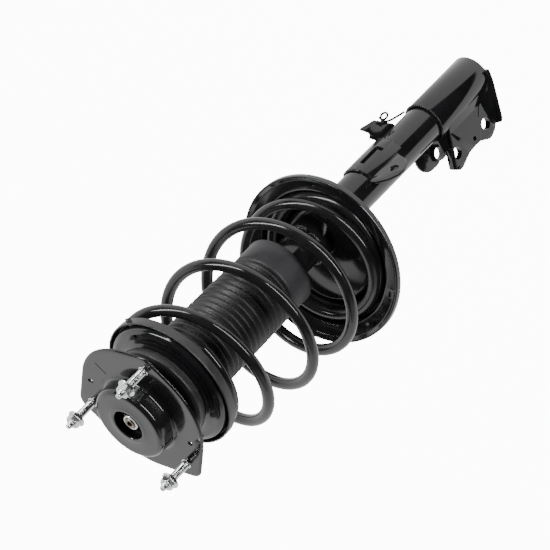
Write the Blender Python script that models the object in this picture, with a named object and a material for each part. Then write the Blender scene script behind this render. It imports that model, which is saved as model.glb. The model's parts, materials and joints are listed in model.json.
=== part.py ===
"""Front suspension strut assembly of a mid-size car: top mount, bearing, spring, boot, damper, brackets.

The piston rod lies on Z, the mounting studs point up, and the top face of the mounting plate is z = 0.
"""

import math

import bmesh
import bpy
from mathutils import Matrix, Vector

MM = 0.001
GAP = 0.3 * MM

# Directions around the rod, in degrees from +X.
STUD_ANGLES = {"a": 0.0, "b": 120.0, "c": 240.0}
SPRING_LEAN_ANGLE = 247.4
KNUCKLE_ANGLE = 217.4
LINK_EAR_ANGLE = 297.9
HOSE_ANGLE = 67.4

# Top mount.
PLATE_THICK = 3.2 * MM
PLATE_R = 84.3 * MM
PLATE_CENTRE = (4.8 * MM, -0.5 * MM)
PLATE_LOBE_R = 15.0 * MM
PLATE_LOBE_AT = 81.0 * MM
STUD_CIRCLE_R = 76.1 * MM
STUD_R_MM = 4.9
STUD_TOP_MM = 45.0
STUD_HEAD_R_MM = 9.0
NUT_SEAT_MM = 28.0
NUT_FLANGE_R_MM = 10.9
NUT_HEX_R = 8.7 * MM
DOME_R_MM = 47.2
DOME_TOP_MM = 23.0
DOME_HOLE_R_MM = 19.6

# Piston rod and damper.
ROD_R_MM = 11.0
ROD_THREAD_R_MM = 7.0
ROD_TOP_MM = 20.0
ROD_SHOULDER_MM = -16.3
ROD_END_MM = -324.0
CYLINDER_R_MM = 15.0
CYLINDER_OUT_R_MM = 16.3
TUBE_R_MM = 24.1
TUBE_IN_R_MM = 21.1
TUBE_TOP_MM = -240.0
TUBE_BOTTOM_MM = -652.0
TUBE_R = TUBE_R_MM * MM

# Coil spring.
WIRE_R = 7.0 * MM
END_COIL_R = 75.0 * MM
FREE_COIL_R = 92.0 * MM
TOP_COIL_Z = -70.0 * MM
COIL_PITCH = 74.6 * MM
COIL_OFFSET = 11.7 * MM
COIL_OFFSET_PER_TURN = 2.4 * MM
SPRING_START_TURN = -0.75
SPRING_END_TURN = 4.5
TURN_ZERO_ANGLE = 67.4

# Lower spring seat, tilted and set off to one side.
SEAT_CENTRE = (-9.4 * MM, -22.5 * MM, -306.8 * MM)
SEAT_NORMAL = (0.2424, 0.0102, 0.9701)
SEAT_R_MM = 105.0
SEAT_PAD_TOP = -20.0 * MM

# Knuckle bracket.
SLEEVE_R = 27.0 * MM
SLEEVE_TOP = -553.0 * MM
SLEEVE_BOTTOM = -655.0 * MM
EAR_OUTER = 19.4 * MM
EAR_THICK = 4.0 * MM
BOLT_REACH = 49.5 * MM
BOLT_UPPER_Z = -561.0 * MM
BOLT_LOWER_Z = -622.5 * MM
BOLT_HOLE_R = 7.8 * MM

ROUND = 28
SMALL_ROUND = 24
TINY_ROUND = 14


def clear_scene():
    for obj in list(bpy.data.objects):
        bpy.data.objects.remove(obj, do_unlink=True)


def make_material(name, colour, metallic, roughness):
    mat = bpy.data.materials.new(name)
    mat.use_nodes = True
    shader = mat.node_tree.nodes["Principled BSDF"]
    shader.inputs["Base Color"].default_value = (*colour, 1.0)
    shader.inputs["Metallic"].default_value = metallic
    shader.inputs["Roughness"].default_value = roughness
    mat.diffuse_color = (*colour, 1.0)
    return mat


def finish_object(name, bm, finish, sharp_deg=35.0):
    bmesh.ops.remove_doubles(bm, verts=bm.verts, dist=0.00001)
    bmesh.ops.recalc_face_normals(bm, faces=bm.faces)
    mesh = bpy.data.meshes.new(name)
    bm.to_mesh(mesh)
    bm.free()
    mesh.shade_smooth()
    mesh.set_sharp_from_angle(angle=math.radians(sharp_deg))
    obj = bpy.data.objects.new(name, mesh)
    bpy.context.scene.collection.objects.link(obj)
    if finish is not None:
        colour, metallic, roughness = finish
        mesh.materials.append(make_material(name, colour, metallic, roughness))
    return obj


def turned(name, profile, finish, steps=ROUND, sharp_deg=35.0):
    """A closed (radius, height) outline in millimetres turned about Z."""
    bm = bmesh.new()
    rings = []
    for radius, height in profile:
        if radius < 0.001:
            rings.append([bm.verts.new((0.0, 0.0, height * MM))])
            continue
        ring = []
        for k in range(steps):
            turn = 2.0 * math.pi * k / steps
            ring.append(bm.verts.new((radius * MM * math.cos(turn), radius * MM * math.sin(turn), height * MM)))
        rings.append(ring)
    count = len(rings)
    for i in range(count):
        one = rings[i]
        two = rings[(i + 1) % count]
        if len(one) == 1 and len(two) == 1:
            continue
        for k in range(steps):
            n = (k + 1) % steps
            if len(one) == 1:
                bm.faces.new((one[0], two[k], two[n]))
            elif len(two) == 1:
                bm.faces.new((one[k], one[n], two[0]))
            else:
                bm.faces.new((one[k], one[n], two[n], two[k]))
    return finish_object(name, bm, finish, sharp_deg)


def prism(name, outline, low, high, finish, frame=None, sharp_deg=35.0):
    """A flat outline pushed from low to high along its own third axis."""
    bm = bmesh.new()
    bottom = [bm.verts.new((x, y, low)) for x, y in outline]
    top = [bm.verts.new((x, y, high)) for x, y in outline]
    count = len(outline)
    caps = [bm.faces.new(bottom), bm.faces.new(top)]
    for i in range(count):
        n = (i + 1) % count
        bm.faces.new((bottom[i], bottom[n], top[n], top[i]))
    bmesh.ops.triangulate(bm, faces=caps)
    if frame is not None:
        bmesh.ops.transform(bm, matrix=frame, verts=bm.verts)
    return finish_object(name, bm, finish, sharp_deg)


def rod_cutter(name, radius, start, end, steps=TINY_ROUND):
    """A round bar between two points, used to cut holes."""
    axis = Vector(end) - Vector(start)
    bm = bmesh.new()
    bmesh.ops.create_cone(
        bm, cap_ends=True, segments=steps, radius1=radius, radius2=radius, depth=axis.length
    )
    place = Matrix.Translation((Vector(start) + Vector(end)) / 2.0)
    turn = axis.to_track_quat("Z", "Y").to_matrix().to_4x4()
    bmesh.ops.transform(bm, matrix=place @ turn, verts=bm.verts)
    return finish_object(name, bm, None)


def boolean(obj, tool, operation):
    tool.hide_render = True
    tool.display_type = "WIRE"
    mod = obj.modifiers.new(tool.name, "BOOLEAN")
    mod.operation = operation
    mod.solver = "EXACT"
    mod.use_self = True
    mod.object = tool


def swept_wire(name, points, radius, sides, finish):
    """A round wire through the points, with flat ends."""
    bm = bmesh.new()
    rings = []
    up = Vector((0.0, 0.0, 1.0))
    count = len(points)
    for i in range(count):
        ahead = points[min(i + 1, count - 1)]
        behind = points[max(i - 1, 0)]
        along = (ahead - behind).normalized()
        side = along.cross(up)
        if side.length < 0.2:
            side = along.cross(Vector((1.0, 0.0, 0.0)))
        side.normalize()
        lift = side.cross(along).normalized()
        ring = []
        for k in range(sides):
            turn = 2.0 * math.pi * k / sides
            ring.append(bm.verts.new(points[i] + radius * (math.cos(turn) * side + math.sin(turn) * lift)))
        rings.append(ring)
    for i in range(count - 1):
        for k in range(sides):
            n = (k + 1) % sides
            bm.faces.new((rings[i][k], rings[i][n], rings[i + 1][n], rings[i + 1][k]))
    bm.faces.new(rings[0])
    bm.faces.new(rings[-1])
    return finish_object(name, bm, finish, 50.0)


def heading(degrees):
    turn = math.radians(degrees)
    return Vector((math.cos(turn), math.sin(turn), 0.0))


def blend(value, low, high):
    t = min(max((value - low) / (high - low), 0.0), 1.0)
    return t * t * (3.0 - 2.0 * t)


def seat_frame():
    """Matrix whose third axis is the lower seat's own axis."""
    normal = Vector(SEAT_NORMAL).normalized()
    side = (Vector((1.0, 0.0, 0.0)) - normal.x * normal).normalized()
    front = normal.cross(side)
    frame = Matrix((side, front, normal)).transposed().to_4x4()
    return Matrix.Translation(Vector(SEAT_CENTRE)) @ frame


def spring_points(steps_per_turn):
    """Wire centre line: level on the upper seat, leaning coils, level on the tilted lower seat."""
    lean = -heading(SPRING_LEAN_ANGLE)
    depth = Vector((-lean.y, lean.x, 0.0))
    normal = Vector(SEAT_NORMAL).normalized()
    slope_lean = normal.dot(lean) / normal.z
    slope_depth = normal.dot(depth) / normal.z
    rest_height = SEAT_PAD_TOP + WIRE_R + GAP
    seat_middle = Vector(SEAT_CENTRE) + normal * rest_height
    points = []
    count = round((SPRING_END_TURN - SPRING_START_TURN) * steps_per_turn)
    for i in range(count + 1):
        turn = SPRING_START_TURN + (SPRING_END_TURN - SPRING_START_TURN) * i / count
        coil_r = END_COIL_R
        coil_r += (FREE_COIL_R - END_COIL_R) * (blend(turn, -0.2, 0.6) - blend(turn, 2.5, 3.3))
        offset = (COIL_OFFSET + COIL_OFFSET_PER_TURN * turn) * blend(turn, 0.1, 0.64)
        level = TOP_COIL_Z - COIL_PITCH * max(turn, 0.0)
        level -= 6.8 * MM * blend(turn, -0.1, 0.3)
        level += 22.0 * MM * blend(turn, 2.25, 3.45)
        angle = math.radians(TURN_ZERO_ANGLE - 360.0 * turn)
        radial = Vector((math.cos(angle), math.sin(angle), 0.0)) * coil_r
        lean_share = blend(turn, -0.15, 0.6) * (0.38 + 0.32 * turn)
        depth_share = min(max((turn + 0.15) / 3.9, 0.0), 1.0)
        level -= lean_share * slope_lean * radial.dot(lean)
        level -= depth_share * slope_depth * radial.dot(depth)
        rest = blend(turn, 3.05, 3.75)
        point = radial - lean * offset * (1.0 - rest) + seat_middle * rest
        point.z = 0.0
        above_seat = point - Vector((SEAT_CENTRE[0], SEAT_CENTRE[1], 0.0))
        seat_level = SEAT_CENTRE[2] + rest_height / normal.z
        seat_level -= slope_lean * above_seat.dot(lean) + slope_depth * above_seat.dot(depth)
        level = level * (1.0 - rest) + seat_level * rest
        point.z = min(max(level, seat_level), TOP_COIL_Z)
        points.append(point)
    return points


def plate_outline():
    """Round plate with three lobes, one around each stud."""
    cloud = []
    for k in range(40):
        turn = 2.0 * math.pi * k / 40
        cloud.append((PLATE_CENTRE[0] + PLATE_R * math.cos(turn), PLATE_CENTRE[1] + PLATE_R * math.sin(turn)))
    for angle in STUD_ANGLES.values():
        lobe = heading(angle) * PLATE_LOBE_AT
        for k in range(18):
            turn = 2.0 * math.pi * k / 18
            cloud.append((lobe.x + PLATE_LOBE_R * math.cos(turn), lobe.y + PLATE_LOBE_R * math.sin(turn)))
    cloud.sort()
    hull = []
    for pass_points in (cloud, cloud[::-1]):
        chain = []
        for p in pass_points:
            while len(chain) > 1:
                a = chain[-2]
                b = chain[-1]
                if (b[0] - a[0]) * (p[1] - a[1]) - (b[1] - a[1]) * (p[0] - a[0]) > 0.0:
                    break
                chain.pop()
            chain.append(p)
        hull += chain[:-1]
    return hull


def build_mount():
    plate = prism("mount_plate", plate_outline(), -PLATE_THICK, 0.0, PAINT)
    core = rod_cutter("plate_core_cut", 50.0 * MM, (0, 0, -0.01), (0, 0, 0.01), ROUND)
    boolean(plate, core, "DIFFERENCE")
    dome = turned(
        "plate_dome_add",
        [
            (DOME_HOLE_R_MM, DOME_TOP_MM), (DOME_R_MM - 5.2, DOME_TOP_MM), (DOME_R_MM - 1.6, DOME_TOP_MM - 0.9),
            (DOME_R_MM, DOME_TOP_MM - 3.7), (DOME_R_MM + 0.6, 6.0), (DOME_R_MM + 2.3, 2.2), (53.0, 0.4),
            (57.0, -0.4), (57.0, -2.8), (DOME_R_MM - 3.0, -2.8), (DOME_R_MM - 3.0, DOME_TOP_MM - 5.5),
            (DOME_R_MM - 5.7, DOME_TOP_MM - 3.0), (DOME_HOLE_R_MM, DOME_TOP_MM - 3.0),
        ],
        None,
    )
    boolean(plate, dome, "UNION")
    for tag, angle in STUD_ANGLES.items():
        at = heading(angle) * STUD_CIRCLE_R
        hole = rod_cutter(
            "plate_hole_" + tag, STUD_R_MM * MM + GAP, (at.x, at.y, -0.01), (at.x, at.y, 0.01)
        )
        boolean(plate, hole, "DIFFERENCE")
    drain = rod_cutter("plate_drain_cut", 3.4 * MM, (0.0025, -0.0682, -0.01), (0.0025, -0.0682, 0.01), 14)
    boolean(plate, drain, "DIFFERENCE")
    turned(
        "mount_cup",
        [
            (26.0, -26.0), (44.0, -26.0), (50.5, -22.0), (52.0, -7.0), (57.0, -3.5), (66.0, -3.5),
            (66.0, -6.1), (58.6, -6.1), (54.4, -9.0), (53.0, -23.5), (45.5, -28.6), (26.0, -28.6),
        ],
        PAINT,
    )
    turned(
        "mount_rubber",
        [
            (13.8, -12.0), (20.0, -20.0), (27.0, -25.6), (43.7, -25.6), (50.1, -21.6), (51.3, -9.0),
            (50.0, -3.6), (43.8, -3.6), (43.8, 10.0), (40.0, 12.5), (24.0, 10.0), (13.8, 6.0),
        ],
        RUBBER,
    )
    turned(
        "inner_sleeve",
        [(7.3, -16.0), (12.0, -16.0), (13.5, -14.0), (13.5, 7.6), (12.0, 9.0), (7.3, 9.0)],
        STEEL,
        SMALL_ROUND,
    )
    turned(
        "rod_washer",
        [(7.3, 9.3), (15.0, 9.3), (16.0, 10.0), (16.0, 11.0), (15.2, 11.7), (7.3, 11.7)],
        PAINT,
        SMALL_ROUND,
    )
    hexagon = [(heading(60.0 * k).x * 10.9 * MM, heading(60.0 * k).y * 10.9 * MM) for k in range(6)]
    rod_nut = prism("rod_nut", hexagon, 12.0 * MM, 18.6 * MM, ZINC, sharp_deg=20.0)
    bore = rod_cutter("rod_nut_bore", ROD_THREAD_R_MM * MM + GAP, (0, 0, 0), (0, 0, 0.03), SMALL_ROUND)
    boolean(rod_nut, bore, "DIFFERENCE")
    for tag, angle in STUD_ANGLES.items():
        at = heading(angle) * STUD_CIRCLE_R
        stud = turned(
            "stud_" + tag,
            [
                (0.0, STUD_TOP_MM), (2.6, STUD_TOP_MM), (3.3, STUD_TOP_MM - 0.8), (3.6, STUD_TOP_MM - 4.0),
                (STUD_R_MM, STUD_TOP_MM - 5.4), (STUD_R_MM, -3.5), (STUD_HEAD_R_MM, -3.5),
                (STUD_HEAD_R_MM, -7.0), (STUD_HEAD_R_MM - 1.0, -8.0), (0.0, -8.0),
            ],
            ZINC,
            TINY_ROUND,
        )
        stud.location = at
        nut = turned(
            "nut_flange_add_" + tag,
            [
                (5.2, NUT_SEAT_MM), (NUT_FLANGE_R_MM - 0.7, NUT_SEAT_MM), (NUT_FLANGE_R_MM, NUT_SEAT_MM + 0.7),
                (NUT_FLANGE_R_MM, NUT_SEAT_MM + 1.9), (8.8, NUT_SEAT_MM + 3.7), (5.2, NUT_SEAT_MM + 3.7),
            ],
            None,
            TINY_ROUND,
        )
        corners = [(heading(60.0 * k).x * NUT_HEX_R, heading(60.0 * k).y * NUT_HEX_R) for k in range(6)]
        body = prism("stud_nut_" + tag, corners, (NUT_SEAT_MM + 2.5) * MM, (NUT_SEAT_MM + 9.5) * MM, ZINC, sharp_deg=20.0)
        thread = rod_cutter("nut_thread_cut_" + tag, STUD_R_MM * MM + GAP, (0, 0, (NUT_SEAT_MM - 4.0) * MM), (0, 0, (NUT_SEAT_MM + 14.0) * MM))
        boolean(body, nut, "UNION")
        boolean(body, thread, "DIFFERENCE")
        body.location = at
        nut.location = at
        thread.location = at


def build_rod():
    rod = turned(
        "piston_rod",
        [
            (0.0, ROD_TOP_MM), (ROD_THREAD_R_MM - 0.8, ROD_TOP_MM), (ROD_THREAD_R_MM, ROD_TOP_MM - 0.8),
            (ROD_THREAD_R_MM, ROD_SHOULDER_MM), (ROD_R_MM - 0.6, ROD_SHOULDER_MM),
            (ROD_R_MM, ROD_SHOULDER_MM - 0.7), (ROD_R_MM, -288.0), (6.0, -288.0), (6.0, ROD_END_MM),
            (0.0, ROD_END_MM),
        ],
        CHROME,
        SMALL_ROUND,
    )
    hexagon = [(heading(60.0 * k).x * 3.9 * MM, heading(60.0 * k).y * 3.9 * MM) for k in range(6)]
    socket = prism("rod_socket_cut", hexagon, 14.0 * MM, 21.0 * MM, None)
    boolean(rod, socket, "DIFFERENCE")
    turned(
        "rebound_stop",
        [(11.3, -270.3), (13.9, -270.3), (13.9, -276.3), (11.3, -276.3)],
        RUBBER,
        SMALL_ROUND,
    )
    turned(
        "piston",
        [
            (6.3, -288.3), (13.6, -288.3), (14.3, -289.2), (14.3, -293.0), (12.8, -293.0), (12.8, -304.0),
            (14.3, -304.0), (14.3, -309.0), (13.4, -310.0), (6.3, -310.0),
        ],
        STEEL,
        SMALL_ROUND,
    )
    turned("piston_band", [(13.1, -293.3), (14.8, -293.3), (14.8, -303.7), (13.1, -303.7)], BAND, SMALL_ROUND)
    corners = [(heading(60.0 * k).x * 10.5 * MM, heading(60.0 * k).y * 10.5 * MM) for k in range(6)]
    nut = prism("piston_nut", corners, -319.0 * MM, -310.3 * MM, STEEL, sharp_deg=20.0)
    bore = rod_cutter("piston_nut_bore", 6.3 * MM, (0, 0, -0.33), (0, 0, -0.30), SMALL_ROUND)
    boolean(nut, bore, "DIFFERENCE")


def build_bearing():
    turned(
        "bearing_upper_race",
        [
            (30.0, -28.9), (56.0, -28.9), (60.0, -31.0), (60.0, -37.5), (57.6, -37.5), (57.6, -33.4),
            (54.5, -32.0), (30.0, -32.0),
        ],
        PLASTIC,
    )
    cage = turned("bearing_cage", [(43.0, -34.2), (49.0, -34.2), (49.0, -35.6), (43.0, -35.6)], PLASTIC)
    for k in range(10):
        at = heading(36.0 * k) * 46.0 * MM
        bm = bmesh.new()
        bmesh.ops.create_icosphere(bm, subdivisions=1, radius=2.5 * MM)
        bmesh.ops.translate(bm, verts=bm.verts, vec=(at.x, at.y, -34.9 * MM))
        ball = finish_object("ball_add_%02d" % k, bm, None, 80.0)
        boolean(cage, ball, "UNION")
    turned(
        "bearing_lower_race",
        [(30.0, -37.8), (54.0, -37.8), (55.4, -39.2), (55.4, -42.4), (30.0, -42.4)],
        PLASTIC,
    )
    turned("bearing_seal", [(55.8, -38.2), (57.2, -38.2), (57.2, -42.2), (55.8, -42.2)], RUBBER)


def build_upper_seat():
    seat = turned(
        "upper_spring_seat",
        [
            (30.0, -42.8), (58.0, -42.8), (62.0, -45.0), (66.0, -46.2), (73.0, -46.2), (77.6, -48.2),
            (79.4, -52.5), (79.8, -58.0), (77.2, -58.0), (76.8, -53.2), (75.2, -50.0), (72.0, -48.8),
            (66.0, -48.8), (61.0, -47.6), (57.0, -45.4), (30.0, -45.4),
        ],
        PAINT,
    )
    tab = prism(
        "upper_tab_add", [(-0.004, 0.0782), (0.004, 0.0782), (0.004, 0.0895), (-0.004, 0.0895)],
        -56.5 * MM, -54.0 * MM, None, Matrix.Rotation(math.radians(-43.0), 4, "Z"),
    )
    boolean(seat, tab, "UNION")
    for tag, angle in (("a", 41.0), ("b", 229.0)):
        at = heading(angle) * 70.0 * MM
        hole = rod_cutter("upper_seat_hole_" + tag, 2.6 * MM, (at.x, at.y, -0.06), (at.x, at.y, -0.04), 12)
        boolean(seat, hole, "DIFFERENCE")
    turned(
        "upper_spring_pad",
        [
            (60.5, -49.2), (72.0, -49.2), (74.6, -50.6), (76.4, -53.5), (76.8, -58.3), (84.4, -58.6),
            (84.4, -61.2), (83.0, -62.4), (62.0, -62.4), (60.5, -61.0),
        ],
        RUBBER,
    )
    turned(
        "bump_stop",
        [
            (11.5, -46.0), (22.0, -46.0), (26.0, -50.0), (26.0, -60.0), (22.5, -64.0), (25.0, -69.0),
            (25.0, -76.0), (20.5, -81.0), (22.0, -86.0), (21.0, -93.0), (17.0, -99.0), (15.0, -104.0),
            (11.5, -104.0),
        ],
        FOAM,
        SMALL_ROUND,
    )


def build_boot():
    profile = [(40.0, -46.0), (54.0, -46.0), (54.0, -49.0), (48.5, -50.5)]
    folds = 13
    top = -54.0
    bottom = -224.0
    for k in range(folds):
        z = top + (bottom - top) * k / folds
        step = (bottom - top) / folds
        outer = 48.6 - 2.8 * k / folds
        profile.append((outer - 4.2, z))
        profile.append((outer, z + 0.5 * step))
    profile += [
        (41.5, -224.0), (44.2, -226.5), (44.6, -256.0), (43.6, -259.0), (41.0, -260.0), (24.6, -260.0),
        (24.6, -257.6), (40.0, -257.6), (41.2, -255.0), (39.5, -224.0), (38.6, -220.0), (40.0, -54.0),
    ]
    turned("dust_boot", profile, BOOT, 24, 60.0)


def build_spring():
    swept_wire("coil_spring", spring_points(22), WIRE_R, 8, PAINT)


def build_damper():
    turned(
        "strut_tube",
        [
            (TUBE_IN_R_MM, TUBE_TOP_MM), (TUBE_R_MM, TUBE_TOP_MM), (TUBE_R_MM, TUBE_BOTTOM_MM),
            (TUBE_IN_R_MM, TUBE_BOTTOM_MM),
        ],
        PAINT,
        SMALL_ROUND,
    )
    turned(
        "base_cap",
        [
            (0.0, TUBE_BOTTOM_MM - 0.3), (TUBE_R_MM, TUBE_BOTTOM_MM - 0.3), (TUBE_R_MM - 0.7, -655.6),
            (19.0, -658.6), (0.0, -660.5),
        ],
        PAINT,
        SMALL_ROUND,
    )
    turned(
        "pressure_tube",
        [
            (CYLINDER_R_MM, -262.7), (CYLINDER_OUT_R_MM, -262.7), (CYLINDER_OUT_R_MM, -643.7),
            (CYLINDER_R_MM, -643.7),
        ],
        STEEL,
        SMALL_ROUND,
    )
    turned(
        "base_valve",
        [(0.0, -644.0), (14.0, -644.0), (20.6, -648.0), (20.6, -651.9), (0.0, -651.9)],
        STEEL,
        SMALL_ROUND,
    )
    turned(
        "rod_guide",
        [(11.1, -250.0), (20.7, -250.0), (20.7, -262.4), (14.7, -262.4), (14.7, -270.0), (11.1, -270.0)],
        STEEL,
        SMALL_ROUND,
    )
    turned("rod_seal", [(11.1, -246.0), (20.6, -246.0), (20.6, -249.7), (11.1, -249.7)], RUBBER, SMALL_ROUND)
    turned(
        "gland_ring",
        [(12.5, -241.2), (20.7, -241.2), (20.7, -245.7), (12.5, -245.7)],
        STEEL,
        SMALL_ROUND,
    )
    turned(
        "bump_cap",
        [
            (12.6, -236.0), (25.4, -236.0), (26.6, -237.4), (26.6, -252.0), (24.4, -252.0), (24.4, -239.7),
            (12.6, -239.7),
        ],
        PLASTIC,
        SMALL_ROUND,
    )


def build_lower_seat():
    frame = seat_frame()
    seat = turned(
        "lower_spring_seat",
        [
            (0.0, -15.0), (57.0, -15.0), (61.0, -17.5), (64.0, -24.0), (85.0, -24.0), (85.6, -9.0),
            (87.6, -6.6), (101.0, -4.2), (SEAT_R_MM, 0.0), (SEAT_R_MM + 1.4, -2.0),
            (SEAT_R_MM + 1.4, -8.5), (SEAT_R_MM - 1.2, -8.5), (SEAT_R_MM - 2.0, -6.4), (89.6, -9.0), (88.2, -11.0), (87.6, -26.6), (62.5, -26.6), (58.5, -18.4),
            (55.0, -17.6), (0.0, -17.6),
        ],
        PAINT,
        32,
    )
    seat.data.transform(frame)
    bore = rod_cutter("seat_bore_cut", TUBE_R + GAP, (0, 0, -0.45), (0, 0, -0.25), SMALL_ROUND)
    collar = rod_cutter("seat_collar_add", 27.5 * MM, (0, 0, -0.352), (0, 0, -0.309), SMALL_ROUND)
    boolean(seat, collar, "UNION")
    boolean(seat, bore, "DIFFERENCE")
    for tag, angle, radius in (
        ("a", 27.0, 96.0), ("b", 273.0, 96.0), ("c", 253.0, 96.0), ("d", 233.0, 96.0),
    ):
        at = heading(angle) * radius * MM
        low = frame @ Vector((at.x, at.y, -0.02))
        high = frame @ Vector((at.x, at.y, 0.01))
        hole = rod_cutter("seat_hole_" + tag, 2.3 * MM, low, high, 10)
        boolean(seat, hole, "DIFFERENCE")
    pad = turned(
        "lower_spring_pad",
        [(66.4, -23.7), (83.0, -23.7), (83.9, -22.0), (84.0, -20.0), (66.4, -20.0)],
        RUBBER,
    )
    pad.data.transform(frame)


def lobe_arc(centre, radius, start, end, steps):
    points = []
    for k in range(steps + 1):
        turn = math.radians(start + (end - start) * k / steps)
        points.append((centre[0] + radius * math.cos(turn), centre[1] + radius * math.sin(turn)))
    return points


def build_knuckle_bracket():
    along = heading(KNUCKLE_ANGLE)
    across = heading(KNUCKLE_ANGLE - 90.0)
    outer_deg = math.degrees(math.asin((EAR_OUTER - 0.5 * EAR_THICK) / SLEEVE_R))
    inner_deg = math.degrees(math.asin((EAR_OUTER - 0.75 * EAR_THICK) / (TUBE_R + GAP)))
    outline = []
    for k in range(29):
        turn = outer_deg + (360.0 - 2.0 * outer_deg) * k / 28
        outline.append(heading(KNUCKLE_ANGLE + turn) * SLEEVE_R)
    for k in range(29):
        turn = 360.0 - inner_deg - (360.0 - 2.0 * inner_deg) * k / 28
        outline.append(heading(KNUCKLE_ANGLE + turn) * (TUBE_R + 1.5 * GAP))
    outline = [(p.x, p.y) for p in outline]
    bracket = prism("knuckle_bracket", outline, SLEEVE_BOTTOM, SLEEVE_TOP, PAINT)

    upper = (BOLT_REACH, BOLT_UPPER_Z)
    lower = (BOLT_REACH, BOLT_LOWER_Z)
    root = [(19.1 * MM, SLEEVE_BOTTOM + 0.8 * MM), (19.1 * MM, SLEEVE_TOP - 0.8 * MM)]
    front = root + [(30.0 * MM, -550.5 * MM)]
    front += lobe_arc(upper, 19.0 * MM, 95.0, -30.0, 8)
    front += [(62.0 * MM, -582.0 * MM), (61.4 * MM, -592.0 * MM), (62.0 * MM, -602.0 * MM)]
    front += lobe_arc(lower, 19.0 * MM, 40.0, -45.0, 5)
    front += [(60.0 * MM, -643.0 * MM)]
    rear = root + [(30.0 * MM, -541.0 * MM)]
    rear += lobe_arc((44.0 * MM, -546.0 * MM), 19.5 * MM, 125.0, 10.0, 8)
    rear += [(63.0 * MM, -558.0 * MM), (58.0 * MM, -570.0 * MM), (56.0 * MM, -592.0 * MM)]
    rear += [(60.0 * MM, -606.0 * MM)]
    rear += lobe_arc(lower, 19.0 * MM, 40.0, -45.0, 5)
    rear += [(60.0 * MM, -643.0 * MM)]
    for tag, side, shape in (("front", -1.0, front), ("rear", 1.0, rear)):
        axis = across * side
        ear_frame = Matrix((along, Vector((0.0, 0.0, 1.0)), axis)).transposed().to_4x4()
        ear = prism("ear_add_" + tag, shape, EAR_OUTER - EAR_THICK, EAR_OUTER, None, ear_frame)
        boolean(bracket, ear, "UNION")
        flange = [
            (18.4 * MM, -655.4 * MM), (18.4 * MM, -651.4 * MM), (60.0 * MM, -641.0 * MM),
            (61.0 * MM, -644.6 * MM),
        ]
        lip = prism("ear_lip_add_" + tag, flange, 18.4 * MM, 31.0 * MM, None, ear_frame)
        boolean(bracket, lip, "UNION")
    for tag, height in (("upper", BOLT_UPPER_Z), ("lower", BOLT_LOWER_Z)):
        spot = along * BOLT_REACH + Vector((0.0, 0.0, height))
        bore = rod_cutter("bolt_cut_" + tag, BOLT_HOLE_R, spot - across * 0.04, spot + across * 0.04, 24)
        boolean(bracket, bore, "DIFFERENCE")
    spot = along * 53.3 * MM + Vector((0.0, 0.0, -597.5 * MM))
    pin = rod_cutter("pin_cut", 2.6 * MM, spot - across * 0.04, spot, 12)
    boolean(bracket, pin, "DIFFERENCE")

    brace = []
    for k in range(9):
        brace.append(heading(KNUCKLE_ANGLE - 34.0 + 68.0 * k / 8) * (TUBE_R + 2.0 * GAP))
    half = EAR_OUTER - EAR_THICK - GAP
    wall = 3.0 * MM
    brace += [along * 23.0 * MM + across * -half, along * 40.0 * MM + across * -half]
    brace += [along * 40.0 * MM + across * -(half - wall), along * 29.0 * MM + across * -(half - wall)]
    brace += [along * 29.0 * MM + across * (half - wall), along * 40.0 * MM + across * (half - wall)]
    brace += [along * 40.0 * MM + across * half, along * 23.0 * MM + across * half]
    first = [brace[i] for i in range(9)]
    legs = brace[9:]
    if (first[-1] - legs[0]).length > (first[0] - legs[0]).length:
        first.reverse()
    prism("knuckle_brace", [(p.x, p.y) for p in first + legs], -648.0 * MM, -547.0 * MM, PAINT)


def build_link_bracket():
    out = heading(LINK_EAR_ANGLE)
    face = heading(LINK_EAR_ANGLE + 90.0)
    outline = []
    for k in range(17):
        outline.append(heading(92.0 - 116.0 * k / 16) * 27.2 * MM)
    for k in range(17):
        outline.append(heading(-24.0 + 116.0 * k / 16) * (TUBE_R + GAP))
    bracket = prism("link_bracket", [(p.x, p.y) for p in outline], -484.0 * MM, -422.0 * MM, PAINT)
    shape = [
        (20.6, -423.0), (24.0, -416.0), (31.0, -417.0), (44.0, -426.0), (51.0, -437.0), (52.4, -448.0),
        (51.0, -458.0), (46.5, -463.0), (31.0, -471.5), (20.6, -474.0),
    ]
    frame = Matrix((out, Vector((0.0, 0.0, 1.0)), face)).transposed().to_4x4()
    ear = prism(
        "link_ear_add", [(a * MM, b * MM) for a, b in shape], 13.8 * MM, 16.8 * MM, None, frame
    )
    boolean(bracket, ear, "UNION")
    spot = out * 37.6 * MM + Vector((0.0, 0.0, -446.4 * MM))
    hole = rod_cutter("link_hole_cut", 6.0 * MM, spot, spot + face * 0.03, 20)
    boolean(bracket, hole, "DIFFERENCE")
    side = heading(115.0)
    slot = [(-2.0, -430.0), (2.0, -430.0), (2.0, -467.0), (-7.0, -467.0), (-7.0, -462.0), (-2.0, -462.0)]
    slot_frame = Matrix((side, Vector((0.0, 0.0, 1.0)), heading(25.0))).transposed().to_4x4()
    slot_cut = prism(
        "link_slot_cut", [(a * MM, b * MM) for a, b in slot], 20.0 * MM, 30.0 * MM, None, slot_frame
    )
    boolean(bracket, slot_cut, "DIFFERENCE")


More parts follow.
